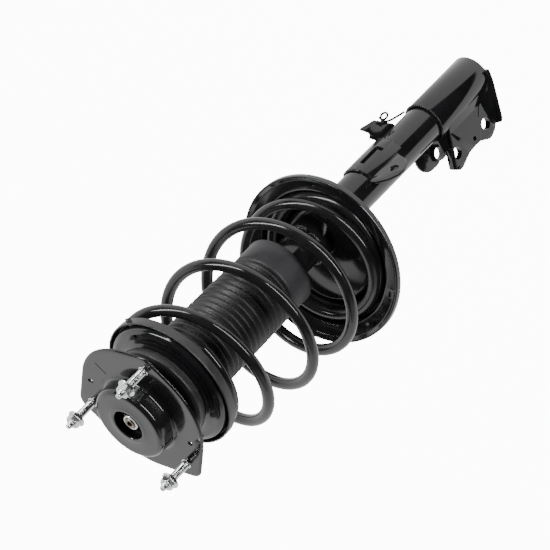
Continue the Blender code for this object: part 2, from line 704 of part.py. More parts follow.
def build_hose_bracket():
    out = heading(HOSE_ANGLE)
    face = heading(HOSE_ANGLE - 90.0)
    shape = [
        (24.6, -489.0), (35.0, -482.4), (37.2, -486.8), (40.5, -487.4), (50.0, -482.6), (50.6, -484.4),
        (46.2, -506.0), (38.0, -513.0), (26.4, -521.0), (24.6, -521.0),
    ]
    frame = Matrix((out, Vector((0.0, 0.0, 1.0)), face)).transposed().to_4x4()
    prism("hose_bracket", [(a * MM, b * MM) for a, b in shape], -1.3 * MM, 1.3 * MM, PAINT, frame)
    wire = [
        (27.0, 3.2, -545.0), (30.0, 3.2, -532.0), (34.0, 3.4, -522.5), (39.5, 4.4, -517.2), (44.0, 7.0, -516.5),
        (45.6, 10.5, -519.0), (43.4, 13.2, -522.0), (39.4, 13.0, -522.6), (37.4, 10.0, -520.0),
        (39.0, 8.0, -516.0), (41.0, 8.0, -510.0),
    ]
    path = [out * a * MM + face * b * MM + Vector((0.0, 0.0, c * MM)) for a, b, c in wire]
    smooth = []
    for i in range(len(path) - 1):
        before = path[max(i - 1, 0)]
        after = path[min(i + 2, len(path) - 1)]
        for k in range(3):
            t = k / 3.0
            one = path[i] * (1.0 - t) + path[i + 1] * t
            bend = (path[i] - before) * t * (1.0 - t) * (1.0 - t) - (after - path[i + 1]) * t * t * (1.0 - t)
            smooth.append(one + 0.5 * bend)
    smooth.append(path[-1])
    swept_wire("hose_clip", smooth, 1.1 * MM, 6, ZINC)


PAINT = ((0.012, 0.012, 0.013), 0.0, 0.22)
ZINC = ((0.78, 0.79, 0.80), 1.0, 0.3)
STEEL = ((0.45, 0.45, 0.46), 1.0, 0.35)
CHROME = ((0.7, 0.7, 0.72), 1.0, 0.12)
RUBBER = ((0.03, 0.03, 0.03), 0.0, 0.75)
FOAM = ((0.55, 0.5, 0.36), 0.0, 0.85)
BOOT = ((0.02, 0.02, 0.02), 0.0, 0.6)
PLASTIC = ((0.05, 0.05, 0.055), 0.0, 0.45)
BAND = ((0.12, 0.2, 0.16), 0.0, 0.5)

clear_scene()
build_mount()
build_rod()
build_bearing()
build_upper_seat()
build_boot()
build_spring()
build_damper()
build_lower_seat()
build_knuckle_bracket()
build_link_bracket()
build_hose_bracket()
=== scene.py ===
"""Front suspension strut: fine surfaces, finishes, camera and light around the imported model."""

import json
import math

import bmesh
import bpy
from mathutils import Matrix, Vector
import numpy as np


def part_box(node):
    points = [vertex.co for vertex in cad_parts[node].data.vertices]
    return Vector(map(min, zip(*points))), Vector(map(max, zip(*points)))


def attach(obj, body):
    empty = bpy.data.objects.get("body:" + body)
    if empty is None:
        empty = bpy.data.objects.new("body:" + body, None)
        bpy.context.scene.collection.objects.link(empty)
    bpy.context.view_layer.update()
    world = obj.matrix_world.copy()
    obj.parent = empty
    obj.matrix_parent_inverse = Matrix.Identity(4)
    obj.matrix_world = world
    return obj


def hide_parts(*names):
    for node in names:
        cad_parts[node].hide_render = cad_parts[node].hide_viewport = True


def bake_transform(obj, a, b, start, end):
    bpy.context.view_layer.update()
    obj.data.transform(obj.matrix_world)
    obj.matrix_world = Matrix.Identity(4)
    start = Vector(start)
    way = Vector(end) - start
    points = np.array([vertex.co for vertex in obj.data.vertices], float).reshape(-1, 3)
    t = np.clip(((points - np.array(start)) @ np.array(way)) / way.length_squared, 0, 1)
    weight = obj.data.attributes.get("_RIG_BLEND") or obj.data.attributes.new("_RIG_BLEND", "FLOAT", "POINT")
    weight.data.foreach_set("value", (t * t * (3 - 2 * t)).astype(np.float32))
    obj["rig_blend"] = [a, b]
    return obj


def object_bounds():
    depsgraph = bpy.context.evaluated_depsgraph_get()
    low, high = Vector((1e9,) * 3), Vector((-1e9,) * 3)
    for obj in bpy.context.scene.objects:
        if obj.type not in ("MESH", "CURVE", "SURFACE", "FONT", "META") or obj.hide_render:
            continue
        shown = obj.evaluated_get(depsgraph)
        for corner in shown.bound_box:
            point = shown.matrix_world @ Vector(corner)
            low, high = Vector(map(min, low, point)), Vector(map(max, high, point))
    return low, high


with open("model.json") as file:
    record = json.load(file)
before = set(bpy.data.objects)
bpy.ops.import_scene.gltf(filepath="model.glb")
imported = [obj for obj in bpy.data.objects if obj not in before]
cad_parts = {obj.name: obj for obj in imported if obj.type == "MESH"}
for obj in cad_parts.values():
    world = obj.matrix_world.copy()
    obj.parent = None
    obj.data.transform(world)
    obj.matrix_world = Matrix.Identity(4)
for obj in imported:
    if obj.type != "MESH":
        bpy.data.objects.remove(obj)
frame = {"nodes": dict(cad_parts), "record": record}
cad_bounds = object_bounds()

MM = 0.001
FINE = 144
Z_AXIS = Vector((0.0, 0.0, 1.0))


# ---------------------------------------------------------------- shapes


def heading(degrees):
    turn = math.radians(degrees)
    return Vector((math.cos(turn), math.sin(turn), 0.0))


def blend(value, low, high):
    t = min(max((value - low) / (high - low), 0.0), 1.0)
    return t * t * (3.0 - 2.0 * t)


def upright_frame(out, face, centre=Vector((0.0, 0.0, 0.0))):
    """Frame of a standing plate: x runs out, y up, z along its face normal."""
    matrix = Matrix((out, Z_AXIS, face)).transposed().to_4x4()
    return Matrix.Translation(centre) @ matrix


def rounded(points, radius, steps=4):
    """A closed 2-D outline with its corners rounded; a point's third number is its own radius."""
    result = []
    count = len(points)
    for i in range(count):
        here = Vector(points[i][:2])
        before = Vector(points[i - 1][:2]) - here
        after = Vector(points[(i + 1) % count][:2]) - here
        want = points[i][2] if len(points[i]) > 2 else radius
        if want <= 0.0 or before.length < 1e-6 or after.length < 1e-6:
            result.append((here.x, here.y))
            continue
        half = 0.5 * before.angle(after)
        if half > 1.56 or half < 0.02:
            result.append((here.x, here.y))
            continue
        reach = min(want / math.tan(half), 0.46 * before.length, 0.46 * after.length)
        start = here + before.normalized() * reach
        end = here + after.normalized() * reach
        for k in range(steps + 1):
            t = k / steps
            p = start * (1.0 - t) ** 2 + here * 2.0 * t * (1.0 - t) + end * t * t
            result.append((p.x, p.y))
    return result


def finish(name, bm, material, body, stands_for=(), sharp=32.0, frame_matrix=None):
    """Makes the object, gives it its finish and lets it ride on its body."""
    if frame_matrix is not None:
        bmesh.ops.transform(bm, matrix=frame_matrix, verts=bm.verts)
    bmesh.ops.remove_doubles(bm, verts=bm.verts, dist=0.000002)
    bmesh.ops.recalc_face_normals(bm, faces=bm.faces)
    mesh = bpy.data.meshes.new(name)
    bm.to_mesh(mesh)
    bm.free()
    mesh.shade_smooth()
    mesh.set_sharp_from_angle(angle=math.radians(sharp))
    for face in mesh.polygons:
        if len(face.vertices) > 4:
            face.use_smooth = False
    obj = bpy.data.objects.new(name, mesh)
    bpy.context.scene.collection.objects.link(obj)
    if material is not None:
        mesh.materials.append(material)
    if body is not None:
        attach(obj, body)
    if stands_for:
        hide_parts(*stands_for)
    return obj


def revolve(bm, profile, steps=FINE, radius_at=None):
    """Turns a closed (radius, height) outline in millimetres about Z."""
    rings = []
    for index, (radius, height) in enumerate(profile):
        if radius < 0.001:
            rings.append([bm.verts.new((0.0, 0.0, height * MM))])
            continue
        ring = []
        for k in range(steps):
            turn = 2.0 * math.pi * k / steps
            r = radius if radius_at is None else radius_at(index, radius, height, turn)
            ring.append(bm.verts.new((r * MM * math.cos(turn), r * MM * math.sin(turn), height * MM)))
        rings.append(ring)
    for i in range(len(rings)):
        one = rings[i]
        two = rings[(i + 1) % len(rings)]
        if len(one) == 1 and len(two) == 1:
            continue
        for k in range(steps):
            n = (k + 1) % steps
            if len(one) == 1:
                bm.faces.new((one[0], two[k], two[n]))
            elif len(two) == 1:
                bm.faces.new((one[k], one[n], two[0]))
            else:
                bm.faces.new((one[k], one[n], two[n], two[k]))


def turned(name, profile, material, body, stands_for=(), steps=FINE, corner=0.5, lift=0.0, sharp=32.0,
           frame_matrix=None, radius_at=None):
    bm = bmesh.new()
    outline = rounded([(p[0], p[1] + lift) + tuple(p[2:]) for p in profile], corner)
    revolve(bm, outline, steps, radius_at)
    return finish(name, bm, material, body, stands_for, sharp, frame_matrix)


def inset(outline, amount):
    """The outline moved inward by an amount, for the eased edge of a plate."""
    area = 0.0
    count = len(outline)
    for i in range(count):
        x0, y0 = outline[i]
        x1, y1 = outline[(i + 1) % count]
        area += x0 * y1 - x1 * y0
    side = 1.0 if area > 0.0 else -1.0
    result = []
    for i in range(count):
        before = Vector(outline[i]) - Vector(outline[i - 1])
        after = Vector(outline[(i + 1) % count]) - Vector(outline[i])
        normal = Vector((-before.y - after.y, before.x + after.x))
        if normal.length > 1e-9:
            normal.normalize()
        result.append((outline[i][0] + side * normal.x * amount, outline[i][1] + side * normal.y * amount))
    return result


def plate_mesh(bm, outline, low, high, ease=0.5):
    """A flat outline in millimetres, from low to high, with eased rims."""
    inner = inset(outline, ease)
    mid = inset(outline, 0.3 * ease)
    levels = [
        (inner, low), (mid, low + 0.3 * ease), (outline, low + ease), (outline, high - ease),
        (mid, high - 0.3 * ease), (inner, high),
    ]
    rings = []
    for shape, height in levels:
        rings.append([bm.verts.new((x * MM, y * MM, height * MM)) for x, y in shape])
    count = len(outline)
    for i in range(len(rings) - 1):
        for k in range(count):
            n = (k + 1) % count
            bm.faces.new((rings[i][k], rings[i][n], rings[i + 1][n], rings[i + 1][k]))
    caps = [bm.faces.new(rings[0]), bm.faces.new(rings[-1])]
    bmesh.ops.triangulate(bm, faces=caps)


def plate(name, outline, low, high, material, body, stands_for=(), frame_matrix=None, ease=0.5, corner=1.2):
    bm = bmesh.new()
    plate_mesh(bm, rounded(outline, corner), low, high, ease)
    return finish(name, bm, material, body, stands_for, 40.0, frame_matrix)


def sweep(bm, points, radius_of, sides=20, squeeze=1.0):
    """A round wire along points, its sections carried without twist; returns each vertex's section."""
    rings = []
    count = len(points)
    side = None
    for i in range(count):
        along = (points[min(i + 1, count - 1)] - points[max(i - 1, 0)]).normalized()
        if side is None:
            side = along.cross(Z_AXIS)
            if side.length < 0.2:
                side = along.cross(Vector((1.0, 0.0, 0.0)))
        side = (side - along * side.dot(along)).normalized()
        lift = side.cross(along).normalized()
        radius = radius_of(i)
        ring = []
        for k in range(sides):
            turn = 2.0 * math.pi * k / sides
            offset = math.cos(turn) * side + math.sin(turn) * lift * squeeze
            ring.append(bm.verts.new(points[i] + radius * offset))
        rings.append(ring)
    for i in range(count - 1):
        for k in range(sides):
            n = (k + 1) % sides
            bm.faces.new((rings[i][k], rings[i][n], rings[i + 1][n], rings[i + 1][k]))
    bm.faces.new(rings[0])
    bm.faces.new(rings[-1])
    return rings


def smooth_path(points, steps):
    """A smooth curve through the points."""
    path = []
    count = len(points)
    for i in range(count - 1):
        p0 = points[max(i - 1, 0)]
        p1 = points[i]
        p2 = points[i + 1]
        p3 = points[min(i + 2, count - 1)]
        for k in range(steps):
            t = k / steps
            path.append(0.5 * (2.0 * p1 + (p2 - p0) * t + (2.0 * p0 - 5.0 * p1 + 4.0 * p2 - p3) * t * t
                               + (3.0 * p1 - p0 - 3.0 * p2 + p3) * t ** 3))
    path.append(points[-1])
    return path


def bar_cutter(name, radius, start, end, steps=40):
    """A hidden round bar between two points in millimetres, used to cut a hole."""
    start = Vector(start) * MM
    end = Vector(end) * MM
    bm = bmesh.new()
    bmesh.ops.create_cone(bm, cap_ends=True, segments=steps, radius1=radius * MM, radius2=radius * MM,
                          depth=(end - start).length)
    turn = (end - start).to_track_quat("Z", "Y").to_matrix().to_4x4()
    bmesh.ops.transform(bm, matrix=Matrix.Translation((start + end) / 2.0) @ turn, verts=bm.verts)
    mesh = bpy.data.meshes.new(name)
    bm.to_mesh(mesh)
    bm.free()
    return bpy.data.objects.new(name, mesh)


def block_cutter(name, outline, low, high, frame_matrix):
    bm = bmesh.new()
    plate_mesh(bm, outline, low, high, 0.02)
    bmesh.ops.transform(bm, matrix=frame_matrix, verts=bm.verts)
    bmesh.ops.recalc_face_normals(bm, faces=bm.faces)
    mesh = bpy.data.meshes.new(name)
    bm.to_mesh(mesh)
    bm.free()
    return bpy.data.objects.new(name, mesh)


def cut(obj, *cutters):
    """Cuts the cutters out of obj's mesh and removes them."""
    scene = bpy.context.scene.collection
    for cutter in cutters:
        scene.objects.link(cutter)
        modifier = obj.modifiers.new("cut", "BOOLEAN")
        modifier.operation = "DIFFERENCE"
        modifier.solver = "EXACT"
        modifier.object = cutter
    bpy.context.view_layer.update()
    evaluated = obj.evaluated_get(bpy.context.evaluated_depsgraph_get())
    mesh = bpy.data.meshes.new_from_object(evaluated)
    for face in mesh.polygons:
        if len(face.vertices) > 4:
            face.use_smooth = False
    obj.modifiers.clear()
    obj.data = mesh
    for cutter in cutters:
        bpy.data.objects.remove(cutter)
    return obj


# ---------------------------------------------------------------- finishes


def nodes_of(name):
    material = bpy.data.materials.new(name)
    material.use_nodes = True
    tree = material.node_tree
    return material, tree, tree.nodes["Principled BSDF"]


def noise(tree, scale, detail=3.0, roughness=0.5, stretch=None):
    coords = tree.nodes.new("ShaderNodeTexCoord")
    texture = tree.nodes.new("ShaderNodeTexNoise")
    texture.inputs["Scale"].default_value = scale
    texture.inputs["Detail"].default_value = detail
    texture.inputs["Roughness"].default_value = roughness
    if stretch is None:
        tree.links.new(coords.outputs["Object"], texture.inputs["Vector"])
    else:
        mapping = tree.nodes.new("ShaderNodeMapping")
        mapping.inputs["Scale"].default_value = stretch
        tree.links.new(coords.outputs["Object"], mapping.inputs["Vector"])
        tree.links.new(mapping.outputs["Vector"], texture.inputs["Vector"])
    return texture.outputs["Fac"]


def ramp(tree, value, low, high, start=0.35, end=0.65):
    node = tree.nodes.new("ShaderNodeMapRange")
    node.inputs["From Min"].default_value = start
    node.inputs["From Max"].default_value = end
    node.inputs["To Min"].default_value = low
    node.inputs["To Max"].default_value = high
    tree.links.new(value, node.inputs["Value"])
    return node.outputs["Result"]


def tint(tree, value, dark, light, start=0.35, end=0.65):
    node = tree.nodes.new("ShaderNodeValToRGB")
    node.color_ramp.elements[0].position = start
    node.color_ramp.elements[0].color = (*dark, 1.0)
    node.color_ramp.elements[1].position = end
    node.color_ramp.elements[1].color = (*light, 1.0)
    tree.links.new(value, node.inputs["Fac"])
    return node.outputs["Color"]


def bump(tree, shader, value, strength, distance):
    node = tree.nodes.new("ShaderNodeBump")
    node.inputs["Strength"].default_value = strength
    node.inputs["Distance"].default_value = distance
    tree.links.new(value, node.inputs["Height"])
    tree.links.new(node.outputs["Normal"], shader.inputs["Normal"])


def surface(name, dark, light, rough, metallic=0.0, ior=1.5, blotch=40.0, grain=1400.0, grain_depth=0.00002,
            grain_strength=0.25, coat=0.0, stretch=None):
    """A finish whose colour, gloss and grain vary at real scale."""
    material, tree, shader = nodes_of(name)
    broad = noise(tree, blotch, 4.0, 0.55)
    fine = noise(tree, grain, 2.0, 0.5, stretch)
    tree.links.new(tint(tree, broad, dark, light), shader.inputs["Base Color"])
    tree.links.new(ramp(tree, broad, rough[0], rough[1]), shader.inputs["Roughness"])
    bump(tree, shader, fine, grain_strength, grain_depth)
    shader.inputs["Metallic"].default_value = metallic
    shader.inputs["IOR"].default_value = ior
    shader.inputs["Coat Weight"].default_value = coat
    shader.inputs["Coat Roughness"].default_value = 0.08
    return material


PAINT = surface("gloss_black_paint", (0.008, 0.008, 0.009), (0.013, 0.013, 0.014), (0.07, 0.13), ior=1.55,
                grain=500.0, grain_depth=0.00003, grain_strength=0.05)
SPRING_PAINT = surface("spring_black_paint", (0.010, 0.010, 0.0105), (0.016, 0.016, 0.017), (0.12, 0.18), ior=1.5,
                       grain=700.0, grain_depth=0.00003, grain_strength=0.06)
WELD = surface("painted_weld", (0.006, 0.006, 0.006), (0.02, 0.02, 0.02), (0.22, 0.4), grain=420.0,
               grain_depth=0.0004, grain_strength=0.6)
RUBBER = surface("moulded_rubber", (0.010, 0.010, 0.010), (0.02, 0.02, 0.02), (0.5, 0.65), grain=1200.0,
                 grain_depth=0.00005, grain_strength=0.3)
PAD_RUBBER = surface("pad_rubber", (0.018, 0.018, 0.018), (0.03, 0.03, 0.03), (0.38, 0.5), grain=1200.0,
                     grain_depth=0.00005, grain_strength=0.3)
BOOT = surface("boot_rubber", (0.007, 0.007, 0.008), (0.013, 0.013, 0.014), (0.4, 0.5), grain=1600.0,
               grain_depth=0.00004, grain_strength=0.3)
COLLAR = surface("collar_rubber", (0.014, 0.014, 0.016), (0.02, 0.02, 0.023), (0.42, 0.52), grain=1600.0,
                 grain_depth=0.00004, grain_strength=0.3)
ZINC = surface("bright_zinc", (0.6, 0.61, 0.62), (0.84, 0.85, 0.86), (0.2, 0.3), metallic=1.0, blotch=260.0,
               grain=1500.0, grain_depth=0.00004, grain_strength=0.3)
STEEL = surface("machined_steel", (0.34, 0.34, 0.35), (0.5, 0.5, 0.51), (0.25, 0.4), metallic=1.0, grain=900.0,
                grain_depth=0.00003, grain_strength=0.3, stretch=(0.05, 0.05, 1.0))
DULL_STEEL = surface("oiled_steel", (0.16, 0.14, 0.11), (0.3, 0.27, 0.22), (0.3, 0.45), metallic=1.0, blotch=300.0,
                     grain=900.0, grain_depth=0.00004, grain_strength=0.3)
CHROME = surface("ground_chrome", (0.66, 0.66, 0.68), (0.74, 0.74, 0.76), (0.06, 0.12), metallic=1.0, grain=1500.0,
                 grain_depth=0.00001, grain_strength=0.15, stretch=(0.05, 0.05, 1.0))
NYLON = surface("bearing_nylon", (0.012, 0.012, 0.013), (0.022, 0.022, 0.024), (0.3, 0.42), grain=1500.0,
                grain_depth=0.00004, grain_strength=0.25)
FOAM = surface("buffer_foam", (0.42, 0.37, 0.25), (0.6, 0.54, 0.4), (0.8, 0.9), grain=900.0, grain_depth=0.0003,
               grain_strength=0.6)
BAND = surface("piston_band", (0.09, 0.16, 0.12), (0.14, 0.22, 0.18), (0.4, 0.5))

CAD_FINISH = {
    "bright_zinc": ZINC, "black_paint": PAINT, "plain_steel": STEEL, "hard_chrome": CHROME,
    "black_rubber": RUBBER, "stop_foam": FOAM, "boot_rubber": BOOT, "bearing_plastic": NYLON,
    "piston_band": BAND,
}
for entry in frame["record"]["subparts"]:
    node = frame["nodes"][entry["node"]]
    node.data.materials.clear()
    node.data.materials.append(CAD_FINISH[entry["material_slot"]])


# ---------------------------------------------------------------- top mount

PLATE_LOW, PLATE_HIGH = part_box("mount_plate")
DOME_TOP = PLATE_HIGH.z / MM
PLATE_DISC = (4.8, -0.5, 84.3)
LOBE_AT = 81.0
LOBE_R = 15.0
STUDS = {}
for tag in ("a", "b", "c"):
    low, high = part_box("stud_" + tag)
    STUDS[tag] = (low + high) / 2.0


def plate_radius(turn):
    """Distance from the rod's axis to the plate's edge: the hull of a disc and three lobes."""
    discs = [PLATE_DISC]
    for spot in STUDS.values():
        lobe = Vector((spot.x, spot.y)).normalized() * LOBE_AT
        discs.append((lobe.x, lobe.y, LOBE_R))
    ray = Vector((math.cos(turn), math.sin(turn)))
    best = 1e9
    for k in range(240):
        side = 2.0 * math.pi * k / 240
        normal = Vector((math.cos(side), math.sin(side)))
        facing = normal.dot(ray)
        if facing < 0.05:
            continue
        reach = max(x * normal.x + y * normal.y + r for x, y, r in discs)
        best = min(best, reach / facing)
    return best


def build_plate():
    edge = [plate_radius(2.0 * math.pi * k / FINE) for k in range(FINE)]
    top = DOME_TOP
    dome = [
        (19.6, top - 2.6), (19.6, top - 0.6), (20.1, top - 0.1), (21.0, top), (24.5, top), (25.0, top - 0.15),
        (25.6, top - 0.25), (38.0, top - 0.25),
    ]
    for k in range(9):
        turn = math.radians(90.0 - 86.0 * k / 8)
        dome.append((41.4 + 5.8 * math.cos(turn), top - 6.05 + 5.8 * math.sin(turn)))
    dome += [(47.5, 6.0), (47.8, 5.0)]
    for k in range(7):
        turn = math.radians(180.0 + 82.0 * k / 6)
        dome.append((52.6 + 4.8 * math.cos(turn), 4.9 + 4.8 * math.sin(turn)))
    dome += [(54.0, 0.05), (58.0, 0.0)]
    outer = [(0.0, 0.0), (0.5, 0.0), (0.93, 0.0)]
    rim = [
        (-2.6, -0.02), (-1.9, -0.14), (-1.2, -0.42), (-0.6, -0.85), (-0.2, -1.4),
        (0.0, -2.0), (0.0, -2.7), (-0.3, -3.1),
        (-0.8, -3.2),
    ]
    under = [
        (58.0, -3.2), (50.0, -3.2), (46.0, -1.6), (44.2, 4.0), (44.2, top - 6.5), (41.0, top - 3.0), (19.6, top - 3.0),
    ]
    bm = bmesh.new()
    rings = []
    for radius, height in dome:
        rings.append([(radius, height)] * FINE)
    for share, height in outer[1:]:
        rings.append([(58.0 + (e - 3.2 - 58.0) * share, height) for e in edge])
    for offset, height in rim:
        rings.append([(e + offset, height) for e in edge])
    for radius, height in under:
        rings.append([(radius, height)] * FINE)
    made = []
    for ring in rings:
        row = []
        for k in range(FINE):
            turn = 2.0 * math.pi * k / FINE
            radius, height = ring[k]
            row.append(bm.verts.new((radius * MM * math.cos(turn), radius * MM * math.sin(turn), height * MM)))
        made.append(row)
    for i in range(len(made)):
        one = made[i]
        two = made[(i + 1) % len(made)]
        for k in range(FINE):
            n = (k + 1) % FINE
            bm.faces.new((one[k], one[n], two[n], two[k]))
    obj = finish("top_plate", bm, PAINT, "mount", ("mount_plate",), 30.0)
    drain = bar_cutter("drain", 3.3, (2.5, -68.2, -8.0), (2.5, -68.2, 4.0), 32)
    slot_frame = Matrix.Translation((-0.0018, 0.0700, 0.0)) @ Matrix.Rotation(math.radians(100.0), 4, "Z")
    slot_shape = rounded([(-4.0, -2.6), (4.0, -2.6), (4.0, 2.6), (-4.0, 2.6)], 2.4)
    slot = block_cutter("slot", slot_shape, -8.0, 4.0, slot_frame)
    line = Vector((28.9 - 35.7, 49.6 - 65.2, 0.0))
    score_turn = Matrix.Rotation(math.atan2(line.y, line.x), 4, "Z")
    score_frame = Matrix.Translation(Vector((32.3, 57.4, 0.0)) * MM) @ score_turn
    score = block_cutter("score", [(-8.8, -0.65), (8.8, -0.65), (8.8, 0.65), (-8.8, 0.65)], -1.3, 2.0, score_frame)
    cut(obj, drain, slot, score)
    return obj


def thread_radius(radius, depth, pitch, low, high):
    def at(index, given, height, turn):
        if given < radius - 0.05 or height < low or height > high:
            return given
        phase = (height / pitch - turn / (2.0 * math.pi)) % 1.0
        return radius - depth * (1.0 - abs(2.0 * phase - 1.0))
    return at


def build_stud(tag):
    spot = STUDS[tag]
    low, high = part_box("stud_" + tag)
    top = high.z / MM
    foot = low.z / MM
    profile = [(0.0, top), (2.2, top), (2.9, top - 0.5), (3.2, top - 1.2), (3.4, top - 3.6), (4.2, top - 4.2)]
    height = top - 4.9
    while height > 3.6:
        profile.append((4.9, height))
        height -= 0.31
    profile += [(5.0, 3.2), (5.0, 0.6), (6.2, 0.3), (6.2, 0.12), (4.6, 0.1), (4.6, -3.3), (8.6, -3.5), (9.0, -3.9)]
    profile += [(9.0, -6.8), (8.2, foot + 0.1), (0.0, foot)]
    bm = bmesh.new()
    revolve(bm, profile, 48, thread_radius(4.9, 0.55, 1.25, 3.7, top - 4.6))
    bmesh.ops.translate(bm, verts=bm.verts, vec=(spot.x, spot.y, 0.0))
    return finish("top_stud_" + tag, bm, ZINC, "mount", ("stud_" + tag,), 50.0)


def hex_radius(across_half, bevel_low, bevel_high):
    def at(index, given, height, turn):
        wedge = math.radians(60.0)
        local = (turn + 0.5 * wedge) % wedge - 0.5 * wedge
        flat = across_half / math.cos(local)
        return min(given, flat) if bevel_low <= height <= bevel_high else given
    return at


def build_stud_nut(tag, turn_deg):
    spot = STUDS[tag]
    low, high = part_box("stud_nut_" + tag)
    base = low.z / MM
    top = high.z / MM
    profile = [
        (5.0, base), (9.6, base), (10.5, base + 0.25), (10.9, base + 0.8), (10.9, base + 1.5), (10.4, base + 2.0),
        (9.2, base + 2.8), (8.75, base + 3.3), (8.75, base + 4.2), (8.75, top - 1.3), (8.4, top - 0.7),
        (7.6, top - 0.1), (7.2, top), (5.4, top), (4.9, top - 0.6), (4.9, base + 0.5),
    ]
    bm = bmesh.new()
    revolve(bm, profile, 96, hex_radius(7.6, base + 2.5, top))
    place = Matrix.Translation((spot.x, spot.y, 0.0)) @ Matrix.Rotation(math.radians(turn_deg), 4, "Z")
    bmesh.ops.transform(bm, matrix=place, verts=bm.verts)
    return finish("flange_nut_" + tag, bm, ZINC, "mount", ("stud_nut_" + tag,), 24.0)


build_plate()
turned(
    "lower_cup",
    [
        (26.0, -26.0), (44.0, -26.0, 2.0), (50.5, -22.0, 3.0), (52.0, -7.0, 3.0), (57.0, -3.5), (66.0, -3.5),
        (66.0, -6.1, 0.9), (58.6, -6.1, 2.0), (54.4, -9.0, 2.5), (53.0, -23.5, 3.0), (45.5, -28.6, 3.0), (26.0, -28.6),
    ],
    PAINT, "mount", ("mount_cup",),
)
turned(
    "mount_core_rubber",
    [
        (13.8, -12.0), (20.0, -20.0), (27.0, -25.6), (43.7, -25.6), (50.1, -21.6), (51.3, -9.0),
        (50.0, -3.6), (43.8, -3.6), (43.8, 10.0), (40.0, 12.5, 3.0), (24.0, 10.0, 3.0), (13.8, 6.0, 1.0),
    ],
    RUBBER, "mount", ("mount_rubber",),
)
for tag, turn in (("a", 12.0), ("b", 40.0), ("c", 25.0)):
    build_stud(tag)
    build_stud_nut(tag, turn)


def washer_radius(index, given, height, turn):
    if given < 12.0:
        return given
    wave = blend(math.cos(3.0 * turn + 0.6), 0.55, 0.8)
    return given - 2.6 * wave


turned(
    "rod_cup_washer",
    [(7.3, 9.3), (15.6, 9.3, 0.3), (16.6, 10.0), (17.4, 11.4, 0.3), (16.8, 12.2, 0.3), (15.4, 11.7, 0.5), (7.3, 11.7)],
    PAINT, "mount", ("rod_washer",), radius_at=washer_radius,
)
NUT_LOW, NUT_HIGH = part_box("rod_nut")


def build_rod_nut():
    base = NUT_LOW.z / MM
    top = NUT_HIGH.z / MM
    profile = [
        (7.1, base), (9.7, base), (10.2, base + 0.3), (10.2, base + 1.4), (10.2, top - 1.6), (9.9, top - 0.8),
        (9.2, top - 0.15), (8.6, top), (7.8, top), (7.1, top - 0.7),
    ]
    bm = bmesh.new()
    revolve(bm, profile, 96, hex_radius(9.45, base - 1.0, top - 1.5))
    return finish("top_rod_nut", bm, ZINC, "mount", ("rod_nut",), 26.0)


build_rod_nut()
ROD_LOW, ROD_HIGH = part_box("piston_rod")


def build_rod():
    top = ROD_HIGH.z / MM
    foot = ROD_LOW.z / MM
    profile = [(0.0, top - 5.5), (3.8, top - 5.5), (3.9, top - 0.5), (4.4, top), (6.0, top), (6.8, top - 0.8)]
    height = top - 1.2
    while height > -15.0:
        profile.append((7.0, height))
        height -= 0.5
    profile += [(7.0, -16.3), (10.4, -16.3), (11.0, -17.0), (11.0, -288.0), (6.0, -288.0), (6.0, foot), (0.0, foot)]
    thread = thread_radius(7.0, 0.5, 1.5, -15.2, top - 1.0)

    def at(index, given, height, turn):
        if 3.0 < given < 4.1:
            wedge = math.radians(60.0)
            local = (turn + 0.5 * wedge) % wedge - 0.5 * wedge
            return 3.4 / math.cos(local)
        return thread(index, given, height, turn)

    bm = bmesh.new()
    revolve(bm, profile, 72, at)
    obj = finish("damper_rod", bm, CHROME, "mount", ("piston_rod",), 40.0)
    obj.data.materials.append(DULL_STEEL)
    for face in obj.data.polygons:
        if face.center.z > -0.0165:
            face.material_index = 1
    return obj


build_rod()

# ---------------------------------------------------------------- bearing and upper seat

turned(
    "bearing_cover",
    [
        (30.0, -28.9), (52.0, -28.9, 1.0), (56.0, -29.4, 2.0), (59.6, -31.6, 2.0),
        (60.0, -37.4, 0.5), (58.6, -37.5, 0.3),
        (58.4, -34.4, 1.5), (54.5, -32.0, 1.0), (30.0, -32.0),
    ],
    NYLON, "mount", ("bearing_upper_race",),
)
turned(
    "bearing_base",
    [(30.0, -37.8), (54.0, -37.8), (55.4, -39.2), (55.4, -42.4), (30.0, -42.4)],
    NYLON, "upper_seat", ("bearing_lower_race",),
)


def build_upper_seat():
    seat = turned(
        "spring_seat_upper",
        [
            (30.0, -42.8), (57.0, -42.8, 1.5), (61.0, -45.2, 2.5), (66.0, -46.2, 3.0), (72.4, -46.2, 3.0),
            (77.4, -48.2, 3.5), (79.2, -52.5, 4.0), (79.8, -57.6, 0.4), (78.6, -58.0, 0.4), (77.4, -57.8, 0.4),
            (76.8, -53.2, 2.5), (75.2, -50.0, 2.0), (72.0, -48.8), (66.0, -48.8), (61.0, -47.6), (57.0, -45.4),
            (30.0, -45.4),
        ],
        PAINT, "upper_seat", ("upper_spring_seat",),
    )
    holes = []
    for tag, angle in (("a", 41.0), ("b", 229.0)):
        at = heading(angle) * 70.0
        holes.append(bar_cutter("hole_" + tag, 2.6, (at.x, at.y, -60.0), (at.x, at.y, -40.0), 28))
    cut(seat, *holes)
    tab = [(-4.0, 78.0), (4.0, 78.0), (4.0, 89.0), (-4.0, 89.0)]
    place = Matrix.Rotation(math.radians(-43.0), 4, "Z")
    plate("seat_tab", tab, -56.5, -54.0, PAINT, "upper_seat", (), place, 0.4, 1.6)


build_upper_seat()
turned(
    "spring_pad_upper",
    [
        (60.5, -49.2), (72.0, -49.2), (74.6, -50.6), (76.4, -53.5), (76.8, -58.2), (80.6, -58.2, 0.5),
        (82.6, -51.0, 0.8), (84.2, -50.2, 0.8), (84.7, -52.0, 1.0), (84.6, -61.4, 1.0), (83.2, -62.4, 0.8),
        (76.0, -62.4, 1.5), (70.0, -61.6, 2.0), (62.0, -62.2), (60.5, -61.0),
    ],
    PAD_RUBBER, "upper_seat", ("upper_spring_pad",),
)

# ---------------------------------------------------------------- dust boot

